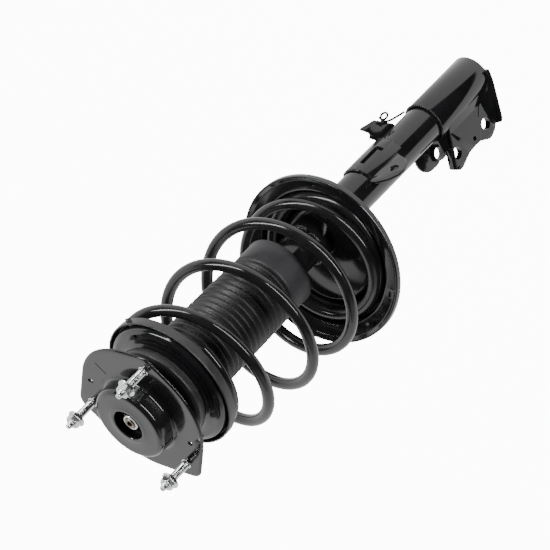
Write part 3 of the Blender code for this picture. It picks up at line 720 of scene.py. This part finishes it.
BOOT_LOW, BOOT_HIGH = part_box("dust_boot")


def build_boot():
    top = BOOT_HIGH.z / MM
    foot = BOOT_LOW.z / MM
    folds = 20
    start = top - 9.0
    end = foot + 36.0
    step = (end - start) / folds
    outside = [(40.0, top), (53.5, top), (54.0, top - 0.6), (54.0, top - 2.6), (53.2, top - 3.2), (47.0, top - 4.6)]
    per_fold = 8
    for k in range(folds * per_fold + 1):
        share = k / per_fold
        height = start + step * share
        crest = 47.6 - 2.6 * share / folds
        wave = 0.5 - 0.5 * math.cos(2.0 * math.pi * share)
        outside.append((crest - 3.6 * (1.0 - wave ** 0.8), height))
    outside += [
        (43.0, end - 1.0), (44.0, end - 2.2), (44.4, end - 4.0),
        (44.6, foot + 6.0), (44.9, foot + 4.6), (45.0, foot + 3.2),
        (44.8, foot + 1.2), (44.2, foot + 0.3), (43.2, foot), (24.6, foot), (24.6, foot + 2.4), (40.0, foot + 2.6),
        (41.0, foot + 5.0), (40.6, end - 2.0),
    ]
    inside = []
    for k in range(folds * 4, -1, -1):
        share = k / 4
        height = start + step * share
        crest = 45.4 - 2.6 * share / folds
        wave = 0.5 - 0.5 * math.cos(2.0 * math.pi * share)
        inside.append((crest - 3.4 * (1.0 - wave), height))
    bm = bmesh.new()
    revolve(bm, outside + inside, 96)
    bmesh.ops.recalc_face_normals(bm, faces=bm.faces)
    mesh = bpy.data.meshes.new("bellows")
    bm.to_mesh(mesh)
    bm.free()
    mesh.shade_smooth()
    mesh.set_sharp_from_angle(angle=math.radians(60.0))
    mesh.materials.append(BOOT)
    mesh.materials.append(COLLAR)
    collar_top = (end - 0.5) * MM
    for face in mesh.polygons:
        face.material_index = 1 if face.center.z < collar_top else 0
    obj = bpy.data.objects.new("bellows", mesh)
    bpy.context.scene.collection.objects.link(obj)
    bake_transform(obj, "upper_seat", "strut_body", (0.0, 0.0, BOOT_HIGH.z), (0.0, 0.0, BOOT_LOW.z))
    weights = obj.data.attributes["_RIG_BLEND"]
    reach = (foot + 37.0 - start) * MM
    for i, vertex in enumerate(obj.data.vertices):
        weights.data[i].value = min(max((vertex.co.z - start * MM) / reach, 0.0), 1.0)
    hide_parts("dust_boot")
    return obj


build_boot()

# ---------------------------------------------------------------- coil spring

WIRE_R = 7.0
SEAT_CENTRE = Vector((-9.4, -22.5, -306.8))
SEAT_NORMAL = Vector((0.2424, 0.0102, 0.9701)).normalized()
LEAN = -heading(247.4)


def spring_point(turn):
    """Centre of the wire in millimetres: level on the upper seat, leaning coils, level on the tilted lower seat."""
    depth = Vector((-LEAN.y, LEAN.x, 0.0))
    slope_lean = SEAT_NORMAL.dot(LEAN) / SEAT_NORMAL.z
    slope_depth = SEAT_NORMAL.dot(depth) / SEAT_NORMAL.z
    rest_height = -20.0 + WIRE_R + 0.3
    seat_middle = SEAT_CENTRE + SEAT_NORMAL * rest_height
    coil_r = 75.0 + 17.0 * (blend(turn, -0.2, 0.6) - blend(turn, 2.5, 3.3))
    offset = (11.7 + 2.4 * turn) * blend(turn, 0.1, 0.64)
    level = -70.0 - 74.6 * max(turn, 0.0) - 6.8 * blend(turn, -0.1, 0.3) + 22.0 * blend(turn, 2.25, 3.45)
    radial = heading(67.4 - 360.0 * turn) * coil_r
    level -= blend(turn, -0.15, 0.6) * (0.38 + 0.32 * turn) * slope_lean * radial.dot(LEAN)
    level -= min(max((turn + 0.15) / 3.9, 0.0), 1.0) * slope_depth * radial.dot(depth)
    rest = blend(turn, 3.05, 3.75)
    point = radial - LEAN * offset * (1.0 - rest) + seat_middle * rest
    point.z = 0.0
    over = point - Vector((SEAT_CENTRE.x, SEAT_CENTRE.y, 0.0))
    seat_level = SEAT_CENTRE.z + rest_height / SEAT_NORMAL.z
    seat_level -= slope_lean * over.dot(LEAN) + slope_depth * over.dot(depth)
    level = level * (1.0 - rest) + seat_level * rest
    point.z = min(max(level, seat_level), -70.0)
    return point


SPRING_START_TURN = -0.75
SPRING_END_TURN = 4.5
SPRING_SECTIONS = 340
FIRST_FREE_TURN = 0.05
FREE_TURNS = 3.45


def build_spring():
    first = SPRING_START_TURN
    last = SPRING_END_TURN
    count = SPRING_SECTIONS
    turns = [first + (last - first) * i / count for i in range(count + 1)]
    raw = [spring_point(t) for t in turns]
    for _ in range(6):
        raw = [raw[0]] + [(raw[i - 1] + 2.0 * raw[i] + raw[i + 1]) / 4.0 for i in range(1, count)] + [raw[-1]]
    points = [p * MM for p in raw]
    bm = bmesh.new()

    def radius_of(i):
        edge = min(i, count - i)
        return (WIRE_R - (0.9 if edge == 0 else 0.0)) * MM

    rings = sweep(bm, points, radius_of, 24)
    order = {}
    for i, ring in enumerate(rings):
        for vertex in ring:
            order[vertex] = i
    bm.verts.ensure_lookup_table()
    bm.verts.index_update()
    section = [0] * len(bm.verts)
    for vertex, i in order.items():
        section[vertex.index] = i
    bmesh.ops.recalc_face_normals(bm, faces=bm.faces)
    mesh = bpy.data.meshes.new("main_spring")
    bm.to_mesh(mesh)
    bm.free()
    mesh.shade_smooth()
    mesh.set_sharp_from_angle(angle=math.radians(50.0))
    mesh.materials.append(SPRING_PAINT)
    obj = bpy.data.objects.new("main_spring", mesh)
    bpy.context.scene.collection.objects.link(obj)
    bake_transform(obj, "upper_seat", "strut_body", (0.0, 0.0, -0.07), (0.0, 0.0, -0.32))
    weights = obj.data.attributes["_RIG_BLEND"]
    for i in range(len(obj.data.vertices)):
        turn = turns[section[i]]
        weights.data[i].value = min(max((turn - FIRST_FREE_TURN) / FREE_TURNS, 0.0), 1.0)
    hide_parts("coil_spring")
    return obj


build_spring()

# ---------------------------------------------------------------- damper tube

TUBE_LOW, TUBE_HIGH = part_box("strut_tube")
TUBE_R = 0.5 * (TUBE_HIGH.x - TUBE_LOW.x) / MM
turned(
    "damper_tube",
    [
        (21.1, TUBE_HIGH.z / MM), (TUBE_R, TUBE_HIGH.z / MM, 0.8), (TUBE_R, TUBE_LOW.z / MM, 0.3),
        (21.1, TUBE_LOW.z / MM),
    ],
    PAINT, "strut_body", ("strut_tube",),
)
CAP_LOW, CAP_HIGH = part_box("base_cap")
turned(
    "foot_cap",
    [
        (0.0, CAP_HIGH.z / MM, 0.0), (TUBE_R, CAP_HIGH.z / MM, 0.3), (TUBE_R, -653.6, 1.5), (22.6, -657.0, 3.0),
        (17.0, -659.4, 6.0), (0.0, CAP_LOW.z / MM, 0.0),
    ],
    PAINT, "strut_body", ("base_cap",), corner=0.4,
)
turned(
    "tube_cap",
    [
        (12.6, -236.0), (25.4, -236.0, 1.2), (26.6, -237.4, 1.0), (26.6, -252.0, 0.5), (24.4, -252.0, 0.3),
        (24.4, -239.7), (12.6, -239.7),
    ],
    NYLON, "strut_body", ("bump_cap",),
)

# ---------------------------------------------------------------- lower spring seat


def seat_frame():
    side = (Vector((1.0, 0.0, 0.0)) - SEAT_NORMAL.x * SEAT_NORMAL).normalized()
    front = SEAT_NORMAL.cross(side)
    turn = Matrix((side, front, SEAT_NORMAL)).transposed().to_4x4()
    return Matrix.Translation(SEAT_CENTRE * MM) @ turn


SEAT_FRAME = seat_frame()


def build_lower_seat():
    seat = turned(
        "spring_seat_lower",
        [
            (0.0, -14.6), (40.0, -14.8, 4.0), (56.0, -15.0, 3.0), (60.0, -17.2, 3.0),
            (63.4, -23.0, 2.5), (66.0, -24.0, 2.0),
            (84.9, -24.0, 2.0), (85.4, -12.0, 3.0), (85.7, -7.2, 2.0), (88.4, -6.4, 2.0), (100.0, -4.6, 3.0),
            (104.0, -0.6, 1.8), (105.4, 0.0, 0.9), (106.4, -1.4, 0.9), (106.5, -8.0, 0.5), (105.2, -8.5, 0.5),
            (104.0, -8.3, 0.4), (103.4, -5.6, 1.6), (101.0, -7.0, 2.0), (90.4, -9.0, 2.0), (88.2, -11.6, 2.0),
            (87.6, -26.0, 2.0), (86.0, -26.6, 1.0), (62.5, -26.6, 2.0), (58.0, -18.4, 2.0), (55.0, -17.6), (0.0, -17.6),
        ],
        PAINT, "strut_body", ("lower_spring_seat",), frame_matrix=SEAT_FRAME,
    )
    cutters = [bar_cutter("bore", TUBE_R + 0.3, (0.0, 0.0, -450.0), (0.0, 0.0, -250.0), 96)]
    for tag, angle, reach, long in (
        ("a", 24.0, 94.5, 2.0), ("b", 275.5, 95.0, 3.9), ("c", 255.5, 94.5, 3.9),
        ("d", 238.0, 92.5, 3.9), ("e", 225.0, 93.0, 2.6),
    ):
        shape = rounded([(-1.9, -long), (1.9, -long), (1.9, long), (-1.9, long)], 1.2)
        place = SEAT_FRAME @ Matrix.Rotation(math.radians(angle), 4, "Z") @ Matrix.Translation((reach * MM, 0.0, 0.0))
        cutters.append(block_cutter("seat_dent_" + tag, shape, -7.2, 6.0, place))
    cut(seat, *cutters)
    turned(
        "seat_collar",
        [
            (TUBE_R + 0.2, -309.0), (27.0, -309.0, 0.8), (27.5, -311.0, 0.5), (27.5, -351.0, 0.5), (27.0, -352.0, 0.6),
            (TUBE_R + 0.2, -352.0),
        ],
        PAINT, "strut_body", ("lower_spring_seat",),
    )
    turned(
        "spring_pad_lower",
        [
            (66.4, -23.7), (83.0, -23.7), (83.9, -22.0), (84.0, -20.0, 0.6),
            (81.0, -20.0, 1.0), (75.0, -20.6), (69.0, -20.0, 1.0), (66.4, -20.0, 0.6),
        ],
        RUBBER, "strut_body", ("lower_spring_pad",), frame_matrix=SEAT_FRAME,
    )


build_lower_seat()


def weld(name, points, radius, squeeze=0.7):
    """A bead of small overlapping ripples along a path."""
    bm = bmesh.new()

    def radius_of(i):
        end = min(i, len(points) - 1 - i)
        ripple = 1.0 + 0.13 * math.sin(i * 1.7) + 0.06 * math.sin(i * 0.61)
        return radius * MM * ripple * (0.35 + 0.65 * min(end / 3.0, 1.0))

    sweep(bm, points, radius_of, 12, squeeze)
    return finish(name, bm, WELD, "strut_body", (), 60.0)


def ring_path(radius, height, start, end, steps):
    return [
        (heading(start + (end - start) * k / steps) * radius + Vector((0.0, 0.0, height))) * MM
        for k in range(steps + 1)
    ]


weld("seat_weld", ring_path(26.4, -307.6, 0.0, 352.0, 110), 2.0)

# ---------------------------------------------------------------- knuckle bracket

KNUCKLE = 217.4
ALONG = heading(KNUCKLE)
ACROSS = heading(KNUCKLE - 90.0)
SLEEVE_R = 27.0
SLEEVE_TOP = -553.0
SLEEVE_BOTTOM = -655.0
EAR_OUT = 19.4
EAR_IN = 15.4
BOLT_HOLE_R = 7.7
FLOOR_OF_FOOT = -657.6


def arc(centre, radius, start, end, steps):
    points = []
    for k in range(steps + 1):
        turn = math.radians(start + (end - start) * k / steps)
        points.append((centre[0] + radius * math.cos(turn), centre[1] + radius * math.sin(turn)))
    return points


def build_foot(name, side):
    """The ear's lower edge: it leans out of the ear's plane and turns into an outward flange."""
    stations = [
        (-7.0, 7.0, -648.0, 8.2, -652.4, 10.6, -654.0), (0.0, 7.2, -646.0, 8.6, -652.0, 11.0, -653.8),
        (8.0, 5.6, -640.0, 7.4, -650.6, 11.2, -652.6), (15.0, 3.0, -634.0, 5.6, -648.8, 11.5, -650.6),
        (22.0, 0.4, -631.4, 4.3, -647.0, 11.5, -648.6), (30.0, 0.3, -630.8, 4.0, -644.8, 11.5, -646.4),
        (38.0, 0.3, -631.4, 4.0, -642.6, 11.5, -644.2), (46.0, 0.3, -632.8, 3.8, -640.6, 11.5, -642.0),
        (54.0, 0.3, -635.0, 3.4, -638.8, 11.4, -639.8), (59.0, 0.2, -636.6, 2.8, -638.0, 9.0, -639.0),
    ]
    bm = bmesh.new()
    rings = []
    for reach, o0, z0, o1, z1, o2, z2 in stations:
        section = [
            (o0 - 3.4, z0 + 1.0), (o0 - 0.6, z0 + 1.4), (o0, z0), (o0 + 0.75 * (o1 - o0), z1 + 0.25 * (z0 - z1)),
            (o1 - 0.2, z1 + 1.1), (o1 + 0.3, z1 + 0.3), (o1 + 1.4, z1 - 0.1), (0.5 * (o1 + o2), 0.5 * (z1 + z2)),
            (o2 - 1.0, z2 + 0.1), (o2 - 0.2, z2 - 0.4), (o2, z2 - 1.4), (o2 - 0.2, z2 - 2.8), (o2 - 1.0, z2 - 3.3),
            (0.5 * (o1 + o2), 0.5 * (z1 + z2) - 3.4), (o1 + 0.6, z1 - 3.8), (o1 - 3.2, z1 - 4.4), (o0 - 3.6, z1 - 3.0),
        ]
        ring = []
        for out, height in section:
            point = ALONG * reach + ACROSS * side * (EAR_OUT + out)
            ring.append(bm.verts.new((point.x * MM, point.y * MM, max(height, FLOOR_OF_FOOT) * MM)))
        rings.append(ring)
    for i in range(len(rings) - 1):
        for k in range(len(rings[0])):
            n = (k + 1) % len(rings[0])
            bm.faces.new((rings[i][k], rings[i][n], rings[i + 1][n], rings[i + 1][k]))
    bmesh.ops.triangulate(bm, faces=[bm.faces.new(rings[0]), bm.faces.new(rings[-1])])
    finish(name, bm, PAINT, "strut_body", ("knuckle_bracket",), 45.0)


def build_knuckle():
    outline = []
    for k in range(97):
        p = heading(KNUCKLE + 40.0 + 280.0 * k / 96) * SLEEVE_R
        outline.append((p.x, p.y))
    for k in range(97):
        p = heading(KNUCKLE + 320.0 - 280.0 * k / 96) * (TUBE_R + 0.4)
        outline.append((p.x, p.y))
    bm = bmesh.new()
    plate_mesh(bm, outline, SLEEVE_BOTTOM, SLEEVE_TOP, 0.6)
    finish("knuckle_sleeve", bm, PAINT, "strut_body", ("knuckle_bracket",), 35.0)
    upper = (50.3, -562.0)
    lower = (50.3, -623.4)
    front = [(20.5, -632.0), (20.5, -564.5), (22.0, -564.0), (66.0, -548.8, 3.0)]
    front += [(70.6, -555.0, 4.0), (70.2, -561.0, 4.0)]
    front += [(66.4, -571.0, 5.0), (62.8, -580.0, 5.0), (62.0, -592.0), (62.4, -604.0, 5.0), (66.0, -611.5, 4.0)]
    front += [(69.8, -619.0, 4.0), (69.6, -624.0, 4.0), (66.0, -633.0, 4.0), (60.0, -639.5, 1.0), (40.0, -636.0, 1.0)]
    rear = [(18.4, -640.0), (18.4, -553.4), (26.0, -545.0), (33.0, -533.0)]
    rear += arc((44.0, -546.0), 19.2, 122.0, 5.0, 12)
    rear += [(63.4, -556.0), (60.0, -566.0), (54.0, -576.0), (52.0, -590.0), (56.0, -604.0), (62.0, -612.0)]
    rear += arc((56.5, -622.0), 13.4, 25.0, -40.0, 8)
    rear += [(63.4, -636.0), (60.0, -639.5)]
    for tag, side, shape in (("front", -1.0, front), ("rear", 1.0, rear)):
        place = upright_frame(ALONG, ACROSS * side)
        ear = plate("knuckle_ear_" + tag, shape, EAR_IN, EAR_OUT, PAINT, "strut_body",
                    ("knuckle_bracket",), place, 0.6, 1.0)
        liner_shape = [
            (40.6, -636.0), (40.6, -553.0), (57.0, -553.0, 5.0), (60.6, -564.0, 5.0), (58.6, -592.0, 8.0),
            (60.6, -612.0, 5.0), (60.6, -629.0, 5.0), (54.0, -636.0, 3.0),
        ]
        liner = plate("knuckle_liner_" + tag, liner_shape, EAR_IN - 3.9, EAR_IN - 0.1, PAINT, "strut_body",
                      ("knuckle_brace",), place, 0.4, 1.0)

        def holes():
            made = []
            for name, spot in (("upper", upper), ("lower", lower)):
                centre = ALONG * spot[0] + Vector((0.0, 0.0, spot[1]))
                axis = ACROSS * side
                made.append(bar_cutter("bolt_" + name, BOLT_HOLE_R, centre + axis * 6.0, centre + axis * 28.0, 56))
            return made

        extra = []
        if tag == "front":
            centre = ALONG * 53.6 + Vector((0.0, 0.0, -597.0))
            extra.append(bar_cutter("pin", 2.9, centre + ACROSS * side * 16.5, centre + ACROSS * side * 28.0, 28))
            groove = [(18.6, -629.4), (36.0, -616.4), (36.8, -617.5), (19.4, -630.5)]
            extra.append(block_cutter("pad_groove", groove, EAR_OUT - 1.2, EAR_OUT + 4.0, place))
        cut(ear, *holes(), *extra)
        cut(liner, *holes())
        web = [(5.0, 26.5), (7.4, 26.0), (22.4, 20.0), (25.0, EAR_OUT), (25.0, EAR_IN), (20.0, 16.8), (6.0, 24.6)]
        spread = [ALONG * x + ACROSS * side * y for x, y in web]
        bm = bmesh.new()
        plate_mesh(bm, [(p.x, p.y) for p in spread], -654.6, -565.2, 0.4)
        finish("knuckle_web_" + tag, bm, PAINT, "strut_body", ("knuckle_bracket",), 40.0)
        build_foot("knuckle_foot_" + tag, side)
    slope = math.radians(19.0)
    run = (ALONG * math.cos(slope) + Z_AXIS * math.sin(slope)).normalized()
    lift = (Z_AXIS * math.cos(slope) - ALONG * math.sin(slope)).normalized()
    corner = (ALONG * 22.0 - ACROSS * EAR_OUT + Vector((0.0, 0.0, -563.8))) * MM
    place = Matrix.Translation(corner) @ Matrix((run, ACROSS, lift)).transposed().to_4x4()
    fold = [(-1.0, 0.0, 0.6), (47.0, 0.0, 1.2), (46.6, 12.2, 1.6), (7.0, 12.6, 2.0), (0.5, 4.0, 2.0)]
    plate("knuckle_fold", fold, -3.6, 0.0, PAINT, "strut_body", ("knuckle_bracket",), place, 0.9, 1.0)
    weld("sleeve_weld", ring_path(26.2, SLEEVE_TOP + 0.3, KNUCKLE + 46.0, KNUCKLE + 314.0, 120), 1.7)


build_knuckle()


def build_brace():
    outline = []
    for k in range(25):
        p = heading(KNUCKLE - 34.0 + 68.0 * k / 24) * (TUBE_R + 0.6)
        outline.append(p)
    half = EAR_IN - 0.3
    wall = 3.0
    legs = [
        ALONG * 23.0 + ACROSS * -half, ALONG * 40.0 + ACROSS * -half, ALONG * 40.0 + ACROSS * -(half - wall),
        ALONG * 29.0 + ACROSS * -(half - wall), ALONG * 29.0 + ACROSS * (half - wall),
        ALONG * 40.0 + ACROSS * (half - wall), ALONG * 40.0 + ACROSS * half, ALONG * 23.0 + ACROSS * half,
    ]
    if (outline[-1] - legs[0]).length > (outline[0] - legs[0]).length:
        outline.reverse()
    bm = bmesh.new()
    plate_mesh(bm, [(p.x, p.y) for p in outline + legs], -648.0, -547.0, 0.4)
    finish("knuckle_channel", bm, PAINT, "strut_body", ("knuckle_brace",), 35.0)


build_brace()

# ---------------------------------------------------------------- link bracket


def build_link():
    out = heading(297.9)
    face = heading(27.9)
    outline = []
    for k in range(49):
        p = heading(92.0 - 116.0 * k / 48) * 27.2
        outline.append((p.x, p.y))
    for k in range(49):
        p = heading(-24.0 + 116.0 * k / 48) * (TUBE_R + 0.2)
        outline.append((p.x, p.y))
    bm = bmesh.new()
    plate_mesh(bm, outline, -484.0, -422.0, 0.6)
    saddle = finish("link_saddle", bm, PAINT, "strut_body", ("link_bracket",), 35.0)
    slot = rounded([(-3.8, -434.0), (3.4, -434.0), (3.4, -468.0), (-8.6, -468.0), (-8.6, -460.0), (-3.8, -460.0)], 2.0)
    cut(saddle, block_cutter("slot", slot, 20.0, 32.0, upright_frame(heading(115.0), heading(25.0))))
    shape = [
        (18.4, -424.0), (23.0, -416.2, 4.0), (31.0, -417.0, 6.0), (44.0, -426.0, 12.0), (51.6, -438.0, 12.0),
        (52.4, -448.0, 10.0), (49.6, -459.0, 8.0), (43.0, -465.5, 8.0), (29.0, -470.5, 6.0), (18.4, -476.0),
    ]
    place = upright_frame(out, face)
    ear = plate("link_ear", shape, 13.8, 16.8, PAINT, "strut_body", ("link_bracket",), place, 0.5, 1.0)
    centre = out * 37.6 + Vector((0.0, 0.0, -446.4))
    cut(ear, bar_cutter("link_hole", 6.0, centre + face * 8.0, centre + face * 24.0, 40))
    weld("link_weld_top", ring_path(25.6, -421.6, 88.0, 10.0, 36), 1.6)
    weld("link_weld_bottom", ring_path(25.6, -484.4, 88.0, -14.0, 40), 1.6)


build_link()

# ---------------------------------------------------------------- hose bracket


def build_hose():
    out = heading(72.4)
    face = heading(-17.6)
    shape = [
        (23.6, -489.0), (35.0, -482.4, 1.2), (37.2, -486.8, 1.0), (40.5, -487.4, 1.0), (50.0, -482.6, 0.8),
        (50.6, -484.4, 0.8), (46.2, -506.0, 2.0), (38.0, -513.0, 2.0), (26.4, -521.0, 1.0), (23.6, -521.0),
    ]
    place = upright_frame(out, face)
    plate("hose_plate", shape, -1.3, 1.3, PAINT, "strut_body", ("hose_bracket",), place, 0.4, 1.0)
    wire = [
        (27.0, 2.6, -543.6), (29.4, 2.7, -531.0), (32.4, 2.9, -519.0), (36.4, 3.6, -512.6), (40.6, 5.0, -511.4),
        (43.2, 8.0, -513.6), (42.4, 11.0, -517.0), (39.0, 11.6, -518.4), (36.6, 9.2, -516.0), (37.6, 6.6, -512.0),
        (40.6, 6.0, -510.6), (43.6, 6.8, -510.4),
    ]
    path = [(out * a + face * b + Vector((0.0, 0.0, c))) * MM for a, b, c in wire]
    bm = bmesh.new()
    sweep(bm, smooth_path(path, 8), lambda i: 1.35 * MM, 12)
    finish("hose_wire_clip", bm, SPRING_PAINT, "strut_body", ("hose_clip",), 50.0)


build_hose()

# ---------------------------------------------------------------- camera, floor and light

RIGHT = Vector((0.07245, -0.80288, -0.59173)).normalized()
DOWN = Vector((-0.62186, -0.50021, 0.60256)).normalized()
AHEAD = Vector((-0.77977, 0.32432, -0.53552)).normalized()


def build_camera():
    camera = bpy.data.cameras.new("camera")
    camera.lens = 196.3
    camera.sensor_width = 36.0
    camera.clip_end = 50.0
    obj = bpy.data.objects.new("camera", camera)
    bpy.context.scene.collection.objects.link(obj)
    turn = Matrix((RIGHT, -DOWN, -AHEAD)).transposed().to_4x4()
    obj.matrix_world = Matrix.Translation((2.6774, -1.1129, 1.588)) @ turn
    bpy.context.scene.camera = obj


def build_floor():
    material, tree, shader = nodes_of("pale_floor")
    tree.links.new(tint(tree, noise(tree, 3.0), (0.88, 0.88, 0.88), (0.92, 0.92, 0.92)), shader.inputs["Base Color"])
    shader.inputs["Roughness"].default_value = 0.9
    shader.inputs["Emission Color"].default_value = (1.0, 1.0, 1.0, 1.0)
    shader.inputs["Emission Strength"].default_value = 12.0
    bm = bmesh.new()
    bmesh.ops.create_grid(bm, x_segments=1, y_segments=1, size=12.0)
    mesh = bpy.data.meshes.new("floor")
    bm.to_mesh(mesh)
    bm.free()
    mesh.materials.append(material)
    floor = bpy.data.objects.new("floor", mesh)
    floor.location = (0.0, 0.0, cad_bounds[0][2] - 0.6)
    floor.visible_glossy = False
    floor.visible_diffuse = False
    bpy.context.scene.collection.objects.link(floor)


def studio(right, up, toward):
    """A direction given as right, up and toward the camera, as the photographer sees it."""
    return (RIGHT * right - DOWN * up - AHEAD * toward).normalized()


def softbox(name, first, last, width, radiance, distance=2.2):
    """A long soft light whose ends lie in the two given directions from the object."""
    target = Vector((0.0, 0.0, -0.25))
    start = target + studio(*first) * distance
    end = target + studio(*last) * distance
    middle = (start + end) / 2.0
    facing = (middle - target).normalized()
    along = (end - start).normalized()
    side = facing.cross(along).normalized()
    along = side.cross(facing).normalized()
    light = bpy.data.lights.new(name, "AREA")
    light.shape = "RECTANGLE"
    light.size = (end - start).length
    light.size_y = width
    light.energy = radiance * math.pi * light.size * width
    obj = bpy.data.objects.new(name, light)
    turn = Matrix((along, side, facing)).transposed().to_4x4()
    obj.matrix_world = Matrix.Translation(middle) @ turn
    bpy.context.scene.collection.objects.link(obj)
    return obj


def build_world():
    """A bright sweep behind and above the strut, and a dark room on the viewer's side."""
    world = bpy.data.worlds.new("studio")
    world.use_nodes = True
    tree = world.node_tree
    background = tree.nodes["Background"]
    coords = tree.nodes.new("ShaderNodeTexCoord")

    def toward(axis, start, end, low, high):
        dot = tree.nodes.new("ShaderNodeVectorMath")
        dot.operation = "DOT_PRODUCT"
        tree.links.new(coords.outputs["Generated"], dot.inputs[0])
        dot.inputs[1].default_value = axis
        node = tree.nodes.new("ShaderNodeMapRange")
        node.interpolation_type = "SMOOTHSTEP"
        node.inputs["From Min"].default_value = start
        node.inputs["From Max"].default_value = end
        node.inputs["To Min"].default_value = low
        node.inputs["To Max"].default_value = high
        tree.links.new(dot.outputs["Value"], node.inputs["Value"])
        return node.outputs["Result"]

    def math_node(kind, a, b):
        node = tree.nodes.new("ShaderNodeMath")
        node.operation = kind
        for socket, value in zip(node.inputs, (a, b)):
            if isinstance(value, float):
                socket.default_value = value
            else:
                tree.links.new(value, socket)
        return node.outputs["Value"]

    sweep_light = toward(studio(0.0, 0.0, -1.0), -0.075, -0.025, 0.02, 1.5)
    upper = toward(studio(0.0, 0.9, -0.1), 0.68, 0.74, 0.02, 1.5)
    table = toward(studio(0.4, -0.9, -0.1), 0.72, 0.95, 0.02, 0.8)
    room = math_node("MAXIMUM", math_node("MAXIMUM", sweep_light, upper), table)
    path = tree.nodes.new("ShaderNodeLightPath")
    seen = math_node("MULTIPLY", path.outputs["Is Camera Ray"], 12.0)
    tree.links.new(math_node("MAXIMUM", room, seen), background.inputs["Strength"])
    background.inputs["Color"].default_value = (1.0, 1.0, 1.0, 1.0)
    bpy.context.scene.world = world


build_camera()
build_floor()
build_world()
softbox("strip_left", (-0.95, -0.05, 0.3), (-0.45, 0.52, 0.72), 0.3, 20.0)
softbox("strip_right", (0.1, 0.45, 0.89), (0.7, -0.15, 0.7), 0.26, 20.0)
